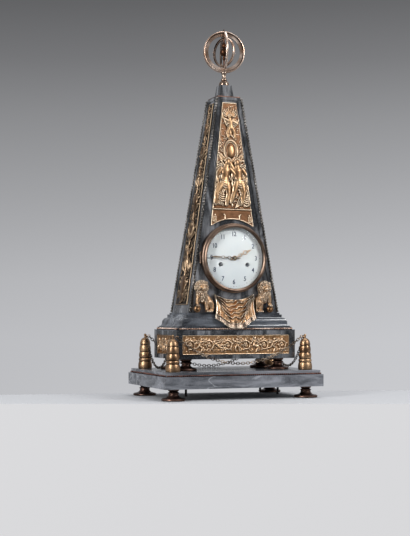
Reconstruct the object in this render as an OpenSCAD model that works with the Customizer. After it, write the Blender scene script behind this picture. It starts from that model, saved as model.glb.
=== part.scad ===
// Obelisk mantel clock: a marble obelisk on a moulded pedestal and a slab, with gilt reliefs,
// two lions, a round pendulum movement, four bollards hung with chains and an armillary sphere.
// Origin on the floor under the middle of the slab, front towards -Y, +Z up, millimetres.

/* [Base slab] */
// Thickness of the marble slab
slab_h = 20.5; // [16:0.5:26]
// How far the thin upper plate stands in from the slab's edge
plate_inset = 4; // [3:0.5:7]
// Thickness of the upper plate
plate_h = 7.2; // [6:0.2:9]
// Plain plate left outside the bollards at the sides
plate_margin_x = 6; // [5:0.5:10]
// Plain plate left outside the bollards at front and back
plate_margin_y = 8.8; // [6:0.1:12]
// Diameter of the fine beads round the foot of the upper plate
plate_bead_d = 3; // [2.2:0.1:3.6]

/* [Turned feet] */
// Height of the feet under the slab
foot_h = 20; // [17:0.5:28]
// Widest diameter of those feet
foot_d = 41; // [36:1:44]
// Distance from the slab's edges to a foot's centre
foot_inset = 23; // [20:0.5:30]
// Height of the feet under the pedestal
box_foot_h = 19.9; // [18:0.1:24]
// Widest diameter of those feet
box_foot_d = 38; // [32:1:40]
// Distance from the pedestal's sides to a foot's centre
box_foot_inset = 24; // [21:0.5:30]
// Distance from the pedestal's front and back to a foot's centre
box_foot_setback = 20; // [19:0.5:24]
// Diameter of the iron tie rods that hold the pedestal on the slab
rod_d = 4; // [3:0.5:6]
// How far the rods reach below the slab
rod_drop = 16; // [12:0.5:19]

/* [Pedestal] */
// Width of the pedestal
box_w = 220; // [212:1:224]
// Depth of the pedestal
box_d = 115; // [110:1:124]
// Height of the pedestal
box_h = 48.4; // [44:0.5:60]
// Depth of the sunk fields for the friezes
frieze_sink = 2; // [1:0.2:4]
// Height of a frieze
frieze_h = 33; // [28:1:38]
// Plain margin between a frieze and the pedestal's corner
frieze_margin = 10.5; // [6:0.5:12]
// Height of the mouldings between the pedestal and the obelisk
cornice_h = 30.5; // [26:0.5:40]
// Diameter of the beads under the mouldings
cornice_bead_d = 3.6; // [2.6:0.1:4]

/* [Obelisk] */
// Width of the obelisk at its foot
obelisk_w = 165; // [158:1:172]
// Depth of the obelisk at its foot
obelisk_d = 91; // [88:1:96]
// Width of the obelisk at its top
top_w = 45.5; // [42:0.5:54]
// Depth of the obelisk at its top
top_d = 47; // [44:0.5:54]
// Height of the obelisk from its foot to its top
obelisk_h = 378.5; // [360:1:420]
// Thickness of the marble walls
wall_t = 10; // [9:0.5:12]
// Width of the plain marble border beside the corners
border_w = 8; // [7:0.5:10]
// Depth of the sunk fields that hold the reliefs
field_sink = 1.6; // [1:0.2:2.4]
// Diameter of the beads along the corners
corner_bead_d = 4.8; // [3:0.1:5.5]
// Distance from bead to bead along the corners
corner_bead_pitch = 4.9; // [4.2:0.1:6]

/* [Reliefs] */
// Half width of the front relief at its top
relief_top = 13; // [11:0.5:14]
// Half width of the front relief at the height of the dial's upper edge
relief_foot = 40; // [36:0.5:42]
// Distance from the front relief's top to the obelisk's top
relief_drop = 10; // [8:0.5:16]
// Radius of the arc that ends the front relief, round the dial
relief_arc_r = 68; // [65:0.5:72]
// Thickness of a relief's ground plate
relief_t = 2.4; // [1.8:0.2:3.4]
// Width of the plain raised frame round a relief
relief_rim = 2.2; // [1.5:0.1:3]
// Half width of a side relief at its top
side_relief_top = 10; // [8:0.5:11]
// Half width of a side relief at its foot
side_relief_foot = 28; // [26:0.5:30]

/* [Lions and lion skin] */
// Height of a seated lion
lion_h = 55; // [48:1:60]
// Distance from the obelisk's corner to the middle of a lion's chest
lion_inset = 20; // [18:0.5:28]
// Distance of a lion's middle in front of the obelisk's foot
lion_out = 5.5; // [4:0.5:8]
// How far the two lions stand towards the left, as photographed
lion_shift = -3.5; // [-5:0.5:5]
// Half width of the hanging lion skin
skin_half_w = 37; // [32:0.5:42]
// How far the skin hangs towards the left, as photographed
skin_shift = -1.5; // [-4:0.5:4]
// Gap between the bezel and the skin's upper edge
skin_drop = 12; // [10:0.5:16]
// Thickness of the skin's folds
skin_t = 4.4; // [3:0.2:6]

/* [Finial] */
// Height of the marble cap block
cap_h = 22; // [18:0.5:28]
// Width of the cap block at its foot
cap_w = 26; // [24:0.5:34]
// Width of the cap block at its top
cap_top_w = 20.5; // [19:0.5:24]
// Height of the turned stem under the armillary sphere
stem_h = 24; // [20:0.5:30]
// Outer radius of the armillary sphere's fixed rings
sphere_r = 37.5; // [34:0.5:42]
// Radial width of the fixed rings
sphere_ring_w = 9; // [6:0.5:10]
// Outer radius of the turning inner ring
inner_ring_r = 26.5; // [20:0.5:27]
// Radius of the globe in the middle
globe_r = 7.4; // [6:0.2:10]
// Angle by which the sphere is turned towards the left
sphere_turn = 13; // [0:1:45]
// Further angle by which the inner ring is turned
inner_turn = 56; // [20:1:70]

/* [Bollards and chains] */
// Distance from the pedestal's sides to the bollards' middle
bollard_out_x = 12.3; // [12:0.1:18]
// Distance from the pedestal's front and back to the bollards' middle
bollard_out_y = 14.9; // [14:0.1:20]
// Diameter of a bollard at its foot
bollard_d = 25.5; // [22:0.5:27]
// Height of a bollard up to the top of its dome
bollard_h = 55; // [52:0.5:62]
// Reach of the chain eyes from the bollard's middle
eye_reach = 9.4; // [9:0.1:11]
// Thickness of the chain wire
link_wire = 1.2; // [1:0.1:1.4]
// Distance from link to link
link_pitch = 4.7; // [4.6:0.1:5]
// Width of a link outside
link_w = 5.4; // [5.2:0.1:6]
// Length of the front chain over the straight distance between its eyes
front_slack = 1.09; // [1.05:0.01:1.15]
// The same for the back chain
back_slack = 1.13; // [1.05:0.01:1.15]
// The same for the side chains
side_slack = 1.35; // [1.1:0.01:1.36]

/* [Dial and bezel] */
// Height of the dial's centre above the floor
dial_z = 241; // [236:0.5:246]
// Outer radius of the bezel
bezel_r = 60; // [59:0.5:61]
// Radial width of the hinged bezel ring
bezel_w = 7; // [6:0.5:8]
// Distance of the bezel's marble seat in front of the middle plane
seat_f = 36; // [35:0.5:36.5]
// Depth of the fixed bezel ring
bezel_ring_h = 9; // [8.5:0.5:11]
// Depth of the hinged bezel ring
bezel_door_h = 9.2; // [8.5:0.1:11]
// Rise of the domed glass
glass_rise = 6; // [5:0.5:8]
// Thickness of the glass
glass_t = 1.5; // [1:0.1:2]
// Rise of the domed enamel dial
dial_rise = 3; // [2:0.2:3.4]
// Half distance between the two winding holes
winding_x = 25; // [24.5:0.1:25.5]
// Distance of the winding holes below the dial's centre
winding_drop = 11.2; // [10:0.1:12]
// Radius of the winding holes in the dial
winding_hole_r = 3.9; // [3.5:0.1:4.5]
// Length of the minute hand
minute_len = 46; // [42:0.5:48]
// Length of the hour hand
hour_len = 35; // [30:0.5:37]
// Angle of the minute hand past twelve
minute_angle = 273; // [0:1:359]
// Angle of the hour hand past twelve
hour_angle = 64.5; // [0:0.5:359.5]

/* [Movement] */
// Radius of the movement's front plate
plate_r = 47.4; // [47:0.1:47.6]
// Thickness of the movement's plates
plate_t = 2.5; // [2:0.1:3]
// Clear distance between the plates
plate_gap = 24; // [23:0.5:26]
// Teeth of a spring barrel
barrel_teeth = 60; // [60:1:60]
// Tooth module of the barrels
barrel_mod = 0.6667; // [0.66:0.0001:0.67]
// Leaves of the pinions that the barrels drive
great_leaves = 12; // [12:1:12]
// Teeth of the second wheel
second_teeth = 60; // [60:1:60]
// Leaves of the centre pinion
centre_leaves = 10; // [10:1:10]
// Tooth module of the second wheel
second_mod = 0.65; // [0.64:0.005:0.66]
// Teeth of the centre and third wheels
train_teeth = 72; // [72:1:72]
// Leaves of the third and escape pinions
train_leaves = 6; // [6:1:6]
// Tooth module of the centre wheel
centre_mod = 0.5; // [0.49:0.005:0.51]
// Tooth module of the third wheel
third_mod = 0.4; // [0.39:0.005:0.41]
// Teeth of the escape wheel
escape_teeth = 36; // [36:1:36]
// Radius of the escape wheel
escape_r = 8.5; // [8:0.1:9]
// Tooth module of the wheels behind the dial
motion_mod = 0.5; // [0.48:0.01:0.5]
// Clear height between the pendulum's nut and the foot of the obelisk
pendulum_clear = 3.5; // [2:0.5:8]
// Radius of the pendulum bob
bob_r = 13; // [10:0.5:14]
// Radius of the bell
bell_r = 26; // [22:0.5:27]

/* [Hidden] */
$fn = 64;

// Running clearance of a shaft in its hole, and the gap left between pieces that only stand close
run = 0.05;
gap = 0.3;
eps = 0.01;
far = 400;

// Levels from the floor up
slab_z = foot_h;
slab_top = slab_z + slab_h;
plate_top = slab_top + plate_h;
box_z = plate_top + box_foot_h;
box_top = box_z + box_h;
obelisk_z = box_top + cornice_h;
obelisk_top = obelisk_z + obelisk_h;

// The slab carries the bollards that stand round the pedestal, with its plate's margins outside
bollard_x = box_w / 2 + bollard_out_x;
bollard_y = box_d / 2 + bollard_out_y;
plate_w = 2 * bollard_x + bollard_d + 2 * plate_margin_x;
plate_d = 2 * bollard_y + bollard_d + 2 * plate_margin_y;
slab_w = plate_w + 2 * plate_inset;
slab_d = plate_d + 2 * plate_inset;

// Places of the feet and rods
foot_x = slab_w / 2 - foot_inset;
foot_y = slab_d / 2 - foot_inset;
box_foot_x = box_w / 2 - box_foot_inset;
box_foot_y = box_d / 2 - box_foot_setback;

// Lean of the obelisk's faces
lean_front = atan((obelisk_d - top_d) / 2 / obelisk_h);
lean_side = atan((obelisk_w - top_w) / 2 / obelisk_h);
function half_w(z) = obelisk_w / 2 - (z - obelisk_z) * tan(lean_side);
function half_d(z) = obelisk_d / 2 - (z - obelisk_z) * tan(lean_front);

marble = [0.22, 0.25, 0.29];
gilt = [0.80, 0.58, 0.28];
bronze = [0.42, 0.27, 0.18];
brass = [0.78, 0.66, 0.36];
steel = [0.55, 0.57, 0.60];

function mirrored(outline) = concat(
  outline,
  [for (i = [len(outline) - 1:-1:0]) [-outline[i][0], outline[i][1]]]
);
function arc(centre, r, a0, a1, n) = [
  for (i = [0:n]) let (a = a0 + (a1 - a0) * i / n) centre + r * [cos(a), sin(a)]
];
function polar(r, a) = [r * cos(a), r * sin(a)];
function aim(from, to) = atan2(to[1] - from[1], to[0] - from[0]);
// Third corner of a triangle whose sides from a and from b are ra and rb long, left of a to b
function corner(a, ra, b, rb) = let (
  d = norm(b - a),
  u = (b - a) / d,
  s = (d * d + ra * ra - rb * rb) / (2 * d),
  h = sqrt(ra * ra - s * s)
) a + s * u + h * [-u[1], u[0]];

// A block with one outline across its front and another across its side, mitred at the corners
module mitred(front, side) {
  intersection() {
    rotate([90, 0, 0]) linear_extrude(far, center = true) polygon(mirrored(front));
    rotate([90, 0, 90]) linear_extrude(far, center = true) polygon(mirrored(side));
  }
}
module four_corners(x, y) {
  for (sx = [-1, 1], sy = [-1, 1]) translate([sx * x, sy * y, 0]) children();
}
// Turns a shape's z axis from one point to another
module along(a, b) {
  d = b - a;
  translate(a)
    rotate([0, acos(d[2] / norm(d)), atan2(d[1], d[0])])
      children();
}
// The obelisk's front face as a flat sheet: x right, y up the face from its foot, z outwards
module on_front() {
  translate([0, -obelisk_d / 2, obelisk_z]) rotate([90 - lean_front, 0, 0]) children();
}
// The same for a side face, left for side -1 and right for side 1
module on_side(side) {
  rotate([0, 0, side * 90])
    translate([0, -obelisk_w / 2, obelisk_z])
      rotate([90 - lean_side, 0, 0])
        children();
}
// The clock's own sheets: x right, y up from the dial's centre, z forwards from the middle plane
module on_clock(forward) {
  translate([0, -forward, dial_z]) rotate([90, 0, 0]) children();
}
// A string of round beads on a thin core, standing up from the origin
module bead_string(length, d, pitch) {
  n = floor((length - d) / pitch);
  start = (length - n * pitch) / 2;
  rotate_extrude($fn = 24)
    intersection() {
      translate([0, -d]) square([d, length + 2 * d]);
      union() {
        translate([0, start]) square([d * 0.22, n * pitch]);
        for (i = [0:n]) translate([0, start + i * pitch]) circle(d = d, $fn = 24);
      }
    }
}

// Turned feet
function foot_outline(d, h, neck, cap) = concat(
  [[0, 0], [d / 2 - 1.5, 0]],
  arc([d / 2 - h * 0.11, h * 0.11], h * 0.11, -60, 80, 5),
  arc([d * 0.36 + neck * 0.1, h * 0.62], h * 0.36, -100, -180, 6),
  arc([cap - h * 0.07, h * 0.66], h * 0.07, -90, 90, 5),
  [[neck + 0.4, h * 0.76], [cap - 0.6, h * 0.86], [cap, h * 0.88], [cap, h], [0, h]]
);
module foot(d, h, neck, cap) {
  rotate_extrude() polygon(foot_outline(d, h, neck, cap));
}
module slab_feet() {
  color(bronze) four_corners(foot_x, foot_y) foot(foot_d, foot_h, 6.5, 9.5);
}
module pedestal_feet() {
  color(bronze)
    translate([0, 0, plate_top])
      four_corners(box_foot_x, box_foot_y)
        difference() {
          foot(box_foot_d, box_foot_h, 7, 10);
          translate([0, 0, -1]) cylinder(r = rod_d / 2 + gap, h = box_foot_h + 2);
        }
}

// Slab, thin upper plate and the beads that hide their joint
rod_hole_r = rod_d / 2 + gap;
module base_slab() {
  color(marble)
    difference() {
      translate([-slab_w / 2, -slab_d / 2, slab_z]) cube([slab_w, slab_d, slab_h]);
      translate([0, 0, slab_z - 1])
        four_corners(box_foot_x, box_foot_y)
          cylinder(r = rod_hole_r, h = slab_h + 2);
    }
}
module base_plate() {
  color(marble)
    difference() {
      translate([-plate_w / 2, -plate_d / 2, slab_top]) cube([plate_w, plate_d, plate_h]);
      translate([0, 0, slab_top - 1])
        four_corners(box_foot_x, box_foot_y)
          cylinder(r = rod_hole_r, h = plate_h + 2);
    }
}
// Four strings of beads round a rectangle, each lying along one side
module bead_frame(w, d, bead_d, pitch) {
  for (side = [0, 180]) rotate([0, 0, side]) {
    translate([-w / 2, -d / 2, 0]) rotate([0, 90, 0]) bead_string(w, bead_d, pitch);
    translate([-w / 2, d / 2 - bead_d, 0])
      rotate([90, 0, 0])
        bead_string(d - 2 * bead_d, bead_d, pitch);
  }
}
module plate_beads() {
  color(bronze)
    translate([0, 0, slab_top + plate_bead_d / 2])
      bead_frame(
        plate_w + plate_bead_d + 2 * eps,
        plate_d + plate_bead_d + 2 * eps,
        plate_bead_d,
        plate_bead_d * 1.2
      );
}

// Bollards: rounded bands between deep grooves under a blunt dome, with a knob and two eyes
bollard_bands = [0, 0.24, 0.35, 0.55, 0.77];
bollard_taper = 0.075;
eye_r = 2.2;
eye_wire = 1.1;
eye_lift = 2.4;
neck_r = 1.7;
knob_r = 2.3;
eye_z = plate_top + bollard_h + eye_lift;
function band_r(z) = bollard_d / 2 - z * bollard_taper;
// A band bulges by a share of its height and ends in a groove above and below
function band(z0, z1, groove, bulge) = concat(
  [[band_r(z0) - groove, z0], [band_r(z0) - groove, z0 + 0.4]],
  [for (i = [0:6]) let (t = i / 6, z = z0 + 0.4 + (z1 - z0 - 0.8) * t)
    [band_r(z) - bulge + bulge * 4 * t * (1 - t), z]],
  [[band_r(z1) - groove, z1 - 0.4], [band_r(z1) - groove, z1]]
);
dome_z = bollard_bands[4] * bollard_h;
dome_r = band_r(dome_z) - 0.3;
bollard_outline = concat(
  [[0, 0]],
  [for (i = [0:3])
    each band(bollard_bands[i] * bollard_h, bollard_bands[i + 1] * bollard_h, 1.5, 0.8)],
  [for (a = [0:12:72]) [dome_r * pow(cos(a), 0.8), dome_z + 0.4 + (bollard_h - dome_z - 0.4) * sin(a)]],
  [[neck_r, bollard_h], [neck_r, bollard_h + eye_lift + 1], [0, bollard_h + eye_lift + 1]]
);
module bollard_eye(angle) {
  rotate([0, 0, angle])
    translate([0, 0, eye_z - plate_top]) {
      translate([eye_reach - eye_r, 0, 0])
        rotate([90, 0, 0])
          rotate_extrude($fn = 32)
            translate([eye_r, 0])
              circle(d = eye_wire, $fn = 24);
      rotate([0, 90, 0]) cylinder(d = eye_wire, h = eye_reach - 2 * eye_r, $fn = 24);
    }
}
module bollards() {
  color(gilt)
    for (sx = [-1, 1], sy = [-1, 1])
      translate([sx * bollard_x, sy * bollard_y, plate_top]) {
        rotate_extrude() polygon(bollard_outline);
        translate([0, 0, bollard_h + eye_lift + knob_r]) sphere(r = knob_r, $fn = 32);
        bollard_eye(sx > 0 ? 180 : 0);
        bollard_eye(sy > 0 ? -90 : 90);
      }
}

// Chains: round-ended links along a catenary between two bollards' eyes. The last link's wire lies
// inside the eye with a gap, so the chain's line ends this far from the eye's centre
hook = eye_r - (eye_wire + link_wire) / 2 - gap + (link_wire + gap) / 2;
function eye_span(bollard) = bollard - eye_reach + eye_r;
// An odd number of links, so that the chain starts and ends with one lying flat
function link_count(bollard, slack) =
  2 * floor((eye_span(bollard) - hook) * slack / link_pitch) + 1;
function asinh(x) = ln(x + sqrt(x * x + 1));
// Catenary constant for half a span and half a length, by halving an interval
function sag_constant(span, length, lo, hi, n) = n == 0 ? (lo + hi) / 2 : (
  let (mid = (lo + hi) / 2)
    mid * asinh(length / mid) > span ? sag_constant(span, length, lo, mid, n - 1)
      : sag_constant(span, length, mid, hi, n - 1)
);
module link() {
  straight = (link_pitch + link_wire + gap) / 2 - (link_w - link_wire) / 2;
  round_r = (link_w - link_wire) / 2;
  for (end = [0, 180])
    rotate([0, 0, end])
      translate([straight, 0, 0])
        rotate([0, 0, -90])
          rotate_extrude(angle = 180, $fn = 32)
            translate([round_r, 0])
              circle(d = link_wire, $fn = 24);
  for (y = [-round_r, round_r])
    translate([-straight, y, 0]) rotate([0, 90, 0]) cylinder(d = link_wire, h = 2 * straight, $fn = 24);
}
module chain(bollard, slack) {
  links = link_count(bollard, slack);
  half_len = links * link_pitch / 2;
  span = eye_span(bollard);
  slope = atan(half_len / sag_constant(span - hook, half_len, 20, 2000, 40));
  a = sag_constant(span - hook * cos(slope), half_len, 20, 2000, 40);
  foot = sqrt(a * a + half_len * half_len) + hook * sin(slope);
  for (i = [0:links - 1])
    let (s = (i + 0.5) * link_pitch - half_len)
      translate([a * asinh(s / a), 0, eye_z + sqrt(a * a + s * s) - foot])
        rotate([0, -atan(s / a), 0])
          rotate([i % 2 == 0 ? 0 : 90, 0, 0])
            link();
}
module chain_front() {
  color(brass) translate([0, -bollard_y, 0]) chain(bollard_x, front_slack);
}
module chain_back() {
  color(brass) translate([0, bollard_y, 0]) chain(bollard_x, back_slack);
}
module chain_left() {
  color(brass) translate([-bollard_x, 0, 0]) rotate([0, 0, 90]) chain(bollard_y, side_slack);
}
module chain_right() {
  color(brass) translate([bollard_x, 0, 0]) rotate([0, 0, 90]) chain(bollard_y, side_slack);
}

// Tie rods with square nuts under the slab
rod_seat = 12;
module tie_rods() {
  nut = rod_d * 2;
  nut_h = rod_d * 0.8;
  color(steel)
    four_corners(box_foot_x, box_foot_y)
      translate([0, 0, slab_z - rod_drop]) {
        cylinder(d = rod_d, h = rod_drop + box_z + rod_seat - slab_z, $fn = 32);
        translate([-nut / 2, -nut / 2, rod_drop - nut_h]) cube([nut, nut, nut_h]);
      }
}

// Pedestal with sunk fields for three friezes
frieze_w = box_w - 2 * frieze_margin;
side_frieze_w = box_d - 2 * frieze_margin - 5;
frieze_z = box_z + (box_h - frieze_h) / 2;
module frieze_field(w, face) {
  translate([-w / 2 - gap, -face - eps, frieze_z - gap])
    cube([w + 2 * gap, frieze_sink + eps, frieze_h + 2 * gap]);
}
module pedestal_box() {
  color(marble)
    difference() {
      translate([-box_w / 2, -box_d / 2, box_z]) cube([box_w, box_d, box_h]);
      frieze_field(frieze_w, box_d / 2);
      for (side = [-90, 90]) rotate([0, 0, side]) frieze_field(side_frieze_w, box_w / 2);
      translate([0, 0, box_z - 1])
        four_corners(box_foot_x, box_foot_y)
          cylinder(d = rod_d, h = rod_seat + 1, $fn = 32);
    }
}
// A gilt plaque: ground plate, raised frame and a running scroll with rosettes between
module frieze(w, face, swirls) {
  ground = frieze_sink - 0.4;
  inner_w = w - 2 * relief_rim;
  inner_h = frieze_h - 2 * relief_rim;
  step = inner_w / swirls;
  scroll_r = min(inner_h, step) * 0.36;
  translate([0, -face + frieze_sink, frieze_z + frieze_h / 2])
    rotate([90, 0, 0]) {
      translate([-w / 2, -frieze_h / 2, 0]) cube([w, frieze_h, ground]);
      linear_extrude(frieze_sink + 0.6)
        difference() {
          square([w, frieze_h], center = true);
          square([inner_w, inner_h], center = true);
        }
      for (i = [0:swirls - 1])
        translate([-inner_w / 2 + (i + 0.5) * step, 0, ground]) {
          rotate_extrude($fn = 24)
            translate([scroll_r, 0])
              intersection() {
                circle(r = 1.7, $fn = 16);
                translate([-2, 0]) square([4, 4]);
              }
          rotate_extrude($fn = 24)
            polygon([[0, 0], [scroll_r * 0.5, 0], [scroll_r * 0.4, 1.4], [0, 2.2]]);
        }
    }
}
module frieze_front() {
  color(gilt) frieze(frieze_w, box_d / 2, 9);
}
module frieze_left() {
  color(gilt) rotate([0, 0, -90]) frieze(side_frieze_w, box_w / 2, 4);
}
module frieze_right() {
  color(gilt) rotate([0, 0, 90]) frieze(side_frieze_w, box_w / 2, 4);
}

// Mouldings: outline points are [share of the way out from obelisk to pedestal, share of height]
bead_shelf = cornice_bead_d + 1.4;
function rise(z0, z1, t0, t1, hollow) = [
  for (i = [0:6]) let (a = 15 * i, s = hollow ? [sin(a), 1 - cos(a)] : [1 - cos(a), sin(a)])
    [t0 + (t1 - t0) * s[0], z0 + (z1 - z0) * s[1]]
];
cornice_outline = concat(
  [[1.01, 0], [1.01, 0.04], [0.82, 0.04], [0.82, 0.20], [0.73, 0.20], [0.73, 0.25]],
  rise(0.25, 0.42, 0.70, 0.56, true),
  rise(0.42, 0.72, 0.56, 0.26, false),
  [[0.24, 0.74], [0.24, 0.90], [0.11, 0.90], [0.11, 1], [0, 1]]
);
function cornice_half(outer, inner) = [
  for (p = cornice_outline) [inner + (outer - inner) * p[0], box_top + p[1] * cornice_h]
];
module cornice() {
  color(marble)
    mitred(
      cornice_half(box_w / 2, obelisk_w / 2),
      cornice_half(box_d / 2, obelisk_d / 2)
    );
}
module cornice_beads() {
  shelf_z = box_top + 0.04 * cornice_h;
  shelf_w = 2 * (obelisk_w / 2 + (box_w - obelisk_w) / 2 * 0.82) + cornice_bead_d + 0.1;
  shelf_d = 2 * (obelisk_d / 2 + (box_d - obelisk_d) / 2 * 0.82) + cornice_bead_d + 0.1;
  color(gilt)
    translate([0, 0, shelf_z + cornice_bead_d / 2 + eps])
      bead_frame(shelf_w, shelf_d, cornice_bead_d, cornice_bead_d * 1.2);
}

// Obelisk: four leaning walls round a hollow, open for the movement at the front and the back
rear_r = 54;
rear_seat = 36.5;
case_hole_r = plate_r + 3.1;
function front_trapezoid(top_half, foot_half, foot_v, top_v) = [
  [-foot_half, foot_v], [foot_half, foot_v], [top_half, top_v], [-top_half, top_v]
];
module face_field(foot_half, top_half, h) {
  low = border_w;
  high = h - 5;
  at_low = foot_half + (top_half - foot_half) * low / h - border_w;
  at_high = foot_half + (top_half - foot_half) * high / h - border_w;
  translate([0, 0, -field_sink])
    linear_extrude(field_sink + 1)
      polygon(front_trapezoid(at_high, at_low, low, high));
}
module obelisk_body() {
  face_front = obelisk_h / cos(lean_front);
  face_side = obelisk_h / cos(lean_side);
  color(marble)
    difference() {
      mitred(
        [[obelisk_w / 2, obelisk_z], [top_w / 2, obelisk_top]],
        [[obelisk_d / 2, obelisk_z], [top_d / 2, obelisk_top]]
      );
      mitred(
        [[half_w(obelisk_z - 1) - wall_t, obelisk_z - 1],
          [half_w(obelisk_top - wall_t) - wall_t, obelisk_top - wall_t]],
        [[half_d(obelisk_z - 1) - wall_t, obelisk_z - 1],
          [half_d(obelisk_top - wall_t) - wall_t, obelisk_top - wall_t]]
      );
      on_front() face_field(obelisk_w / 2, top_w / 2, face_front);
      for (side = [-1, 1]) on_side(side) face_field(obelisk_d / 2, top_d / 2, face_side);
      on_clock(0) cylinder(r = case_hole_r, h = far);
      on_clock(seat_f) cylinder(r = bezel_r + gap, h = far);
      on_clock(-far) cylinder(r = case_hole_r, h = far);
      on_clock(-far) cylinder(r = rear_r + gap, h = far - rear_seat);
      for (sx = [-1, 1], sy = [-1, 1])
        along(arris_point(sx, sy, obelisk_z - 5), arris_point(sx, sy, obelisk_top + 5))
          rotate([0, 0, 180]) cylinder(r = corner_bead_d / 2 + eps, h = 2 * far, $fn = 32);
      translate([0, 0, obelisk_top - wall_t - 1]) cylinder(r = bolt_hole_r, h = wall_t + 2, $fn = 32);
    }
}
function arris_point(sx, sy, z) = [sx * half_w(z), sy * half_d(z), z];
module corner_beads() {
  color(bronze)
    for (sx = [-1, 1], sy = [-1, 1])
      let (low = arris_point(sx, sy, obelisk_z + 0.5), high = arris_point(sx, sy, obelisk_top - 0.5))
        along(low, high) bead_string(norm(high - low), corner_bead_d, corner_bead_pitch);
}

// Reliefs: a ground plate with a raised frame, in the sunk field of its face
front_v = function(z) (z - obelisk_z) / cos(lean_front);
module relief_plate(outline_top, outline_foot, v0, v1) {
  translate([0, 0, -field_sink + eps]) {
    linear_extrude(relief_t)
      polygon(front_trapezoid(outline_top, outline_foot, v0, v1));
    linear_extrude(relief_t + 1.2)
      difference() {
        polygon(front_trapezoid(outline_top, outline_foot, v0, v1));
        polygon(front_trapezoid(
          outline_top - relief_rim, outline_foot - relief_rim, v0 + relief_rim, v1 - relief_rim
        ));
      }
  }
}
module relief_front() {
  v0 = front_v(dial_z + 55);
  v1 = front_v(obelisk_top - relief_drop);
  centre_v = front_v(dial_z);
  color(gilt)
    on_front() {
      difference() {
        relief_plate(relief_top, relief_foot, v0, v1);
        translate([0, centre_v, -5]) cylinder(r = relief_arc_r, h = 20);
      }
      translate([0, (v0 + v1) / 2 + 26, relief_t - field_sink]) medallion(13);
    }
}
// A round boss in a turned frame
module medallion(r) {
  rotate_extrude($fn = 48)
    polygon([[0, -0.5], [r, -0.5], [r, 1.6], [r * 0.86, 2.4], [r * 0.74, 1.2], [r * 0.4, 2.2], [0, 2.6]]);
}
module side_relief(side) {
  v0 = 14;
  v1 = obelisk_h / cos(lean_side) - relief_drop;
  color(gilt)
    on_side(side) {
      relief_plate(side_relief_top, side_relief_foot, v0, v1);
      for (t = [0.18, 0.5, 0.8])
        translate([0, v0 + (v1 - v0) * t, relief_t - field_sink])
          medallion((side_relief_foot + (side_relief_top - side_relief_foot) * t) * 0.55);
    }
}
module relief_left() {
  side_relief(-1);
}
module relief_right() {
  side_relief(1);
}

// Lions: sitting with a full mane, the outer forepaw on a ball, cut to fit the obelisk's face
module limb(a, ra, b, rb) {
  hull() {
    translate(a) sphere(r = ra, $fn = 14);
    translate(b) sphere(r = rb, $fn = 14);
  }
}
// Drawn for the right-hand side, 55 high: x grows towards the obelisk's corner
module lion_shape() {
  mane = [-4, -1, 43];
  translate([5.3, -1, 6.2]) sphere(r = 6.2, $fn = 28);
  limb([1, 0, 33], 6, [4.6, -1, 15], 3.4);
  limb([4.8, -1.5, 13.6], 3.4, [5.6, -5, 12.4], 2.8);
  limb([-9, 0, 28], 5.2, [-12, -2, 5], 3.4);
  limb([-12, -2, 3.4], 3.4, [-12.4, -7, 3], 3);
  limb([-4, 1, 34], 9, [-6, 2, 23], 7.6);
  limb([-6, 3, 29], 8.5, [-19, 4, 16], 9.4);
  limb([-20, -2, 3.6], 3.6, [-17, -7.5, 3], 3);
  translate([-4, 2.5, 41]) sphere(r = 10, $fn = 20);
  for (i = [0:9])
    translate(mane + [8 * cos(36 * i), 0, 8.4 * sin(36 * i)]) sphere(r = 3.7, $fn = 10);
  for (i = [0:4])
    translate([-10 + 3 * i, -2.5, 33 - 1.6 * (2 - abs(i - 2))]) sphere(r = 3.4, $fn = 10);
  translate([-4, -4.5, 44]) sphere(r = 7, $fn = 20);
  limb([-4, -9, 42], 4, [-4, -11.6, 40.6], 3);
  for (side = [-1, 1]) {
    translate([-4 + side * 6, -3, 51]) sphere(r = 2.3, $fn = 10);
    translate([-4 + side * 2.6, -10.4, 46]) sphere(r = 1.8, $fn = 10);
  }
}
module lion(side) {
  beside_skin = skin_half_w * (1 + skin_flare) + gap;
  color(gilt)
    difference() {
      translate([
        side * (obelisk_w / 2 - lion_inset) + lion_shift, -obelisk_d / 2 - lion_out, obelisk_z
      ])
        mirror([side < 0 ? 1 : 0, 0, 0])
          scale(lion_h / 55)
            lion_shape();
      on_front() translate([-far / 2, -far / 2, -far]) cube(far);
      translate([-far / 2, -far / 2, obelisk_z - far]) cube(far);
      translate([skin_shift - beside_skin, -far, obelisk_z - 1]) cube([2 * beside_skin, 2 * far, far]);
    }
}
module lion_right() {
  lion(1);
}
module lion_left() {
  lion(-1);
}

// The lion skin that hangs under the bezel: swags drawn to its upper corners above a plain hem
skin_rows = 18;
skin_cols = 26;
skin_flare = 0.04;
skin_top_r = bezel_r + skin_drop;
skin_foot = box_top + 2.8;
skin_side_rise = 19;
function skin_half(t) = skin_half_w * (1 - 0.05 * sin(180 * t) + skin_flare * pow(t, 3));
function skin_swag(s, t) = min(1, t / (0.78 * (1 - 0.62 * s * s)));
function skin_point(i, j, lift) = let (
  t = j / skin_rows,
  s = 2 * i / skin_cols - 1,
  x = s * skin_half(t),
  top_z = dial_z - sqrt(skin_top_r * skin_top_r - x * x),
  low_z = skin_foot + skin_side_rise * pow(abs(s), 1.8),
  z = top_z + (low_z - top_z) * t,
  back = max(half_d(z) + gap, box_d / 2 + 2.8 - (z - box_top) * 0.25),
  swag = skin_swag(s, t),
  fold = swag < 1 ? 1.3 * cos(360 * 3 * swag) : 0.5 * cos(360 * 4.5 * s),
  edge = 1 - pow(abs(2 * t - 1), 8)
) [skin_shift + x, -back - (lift ? max(1.2, (skin_t + fold) * (0.5 + 0.5 * edge)) : 0), z];
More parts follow.
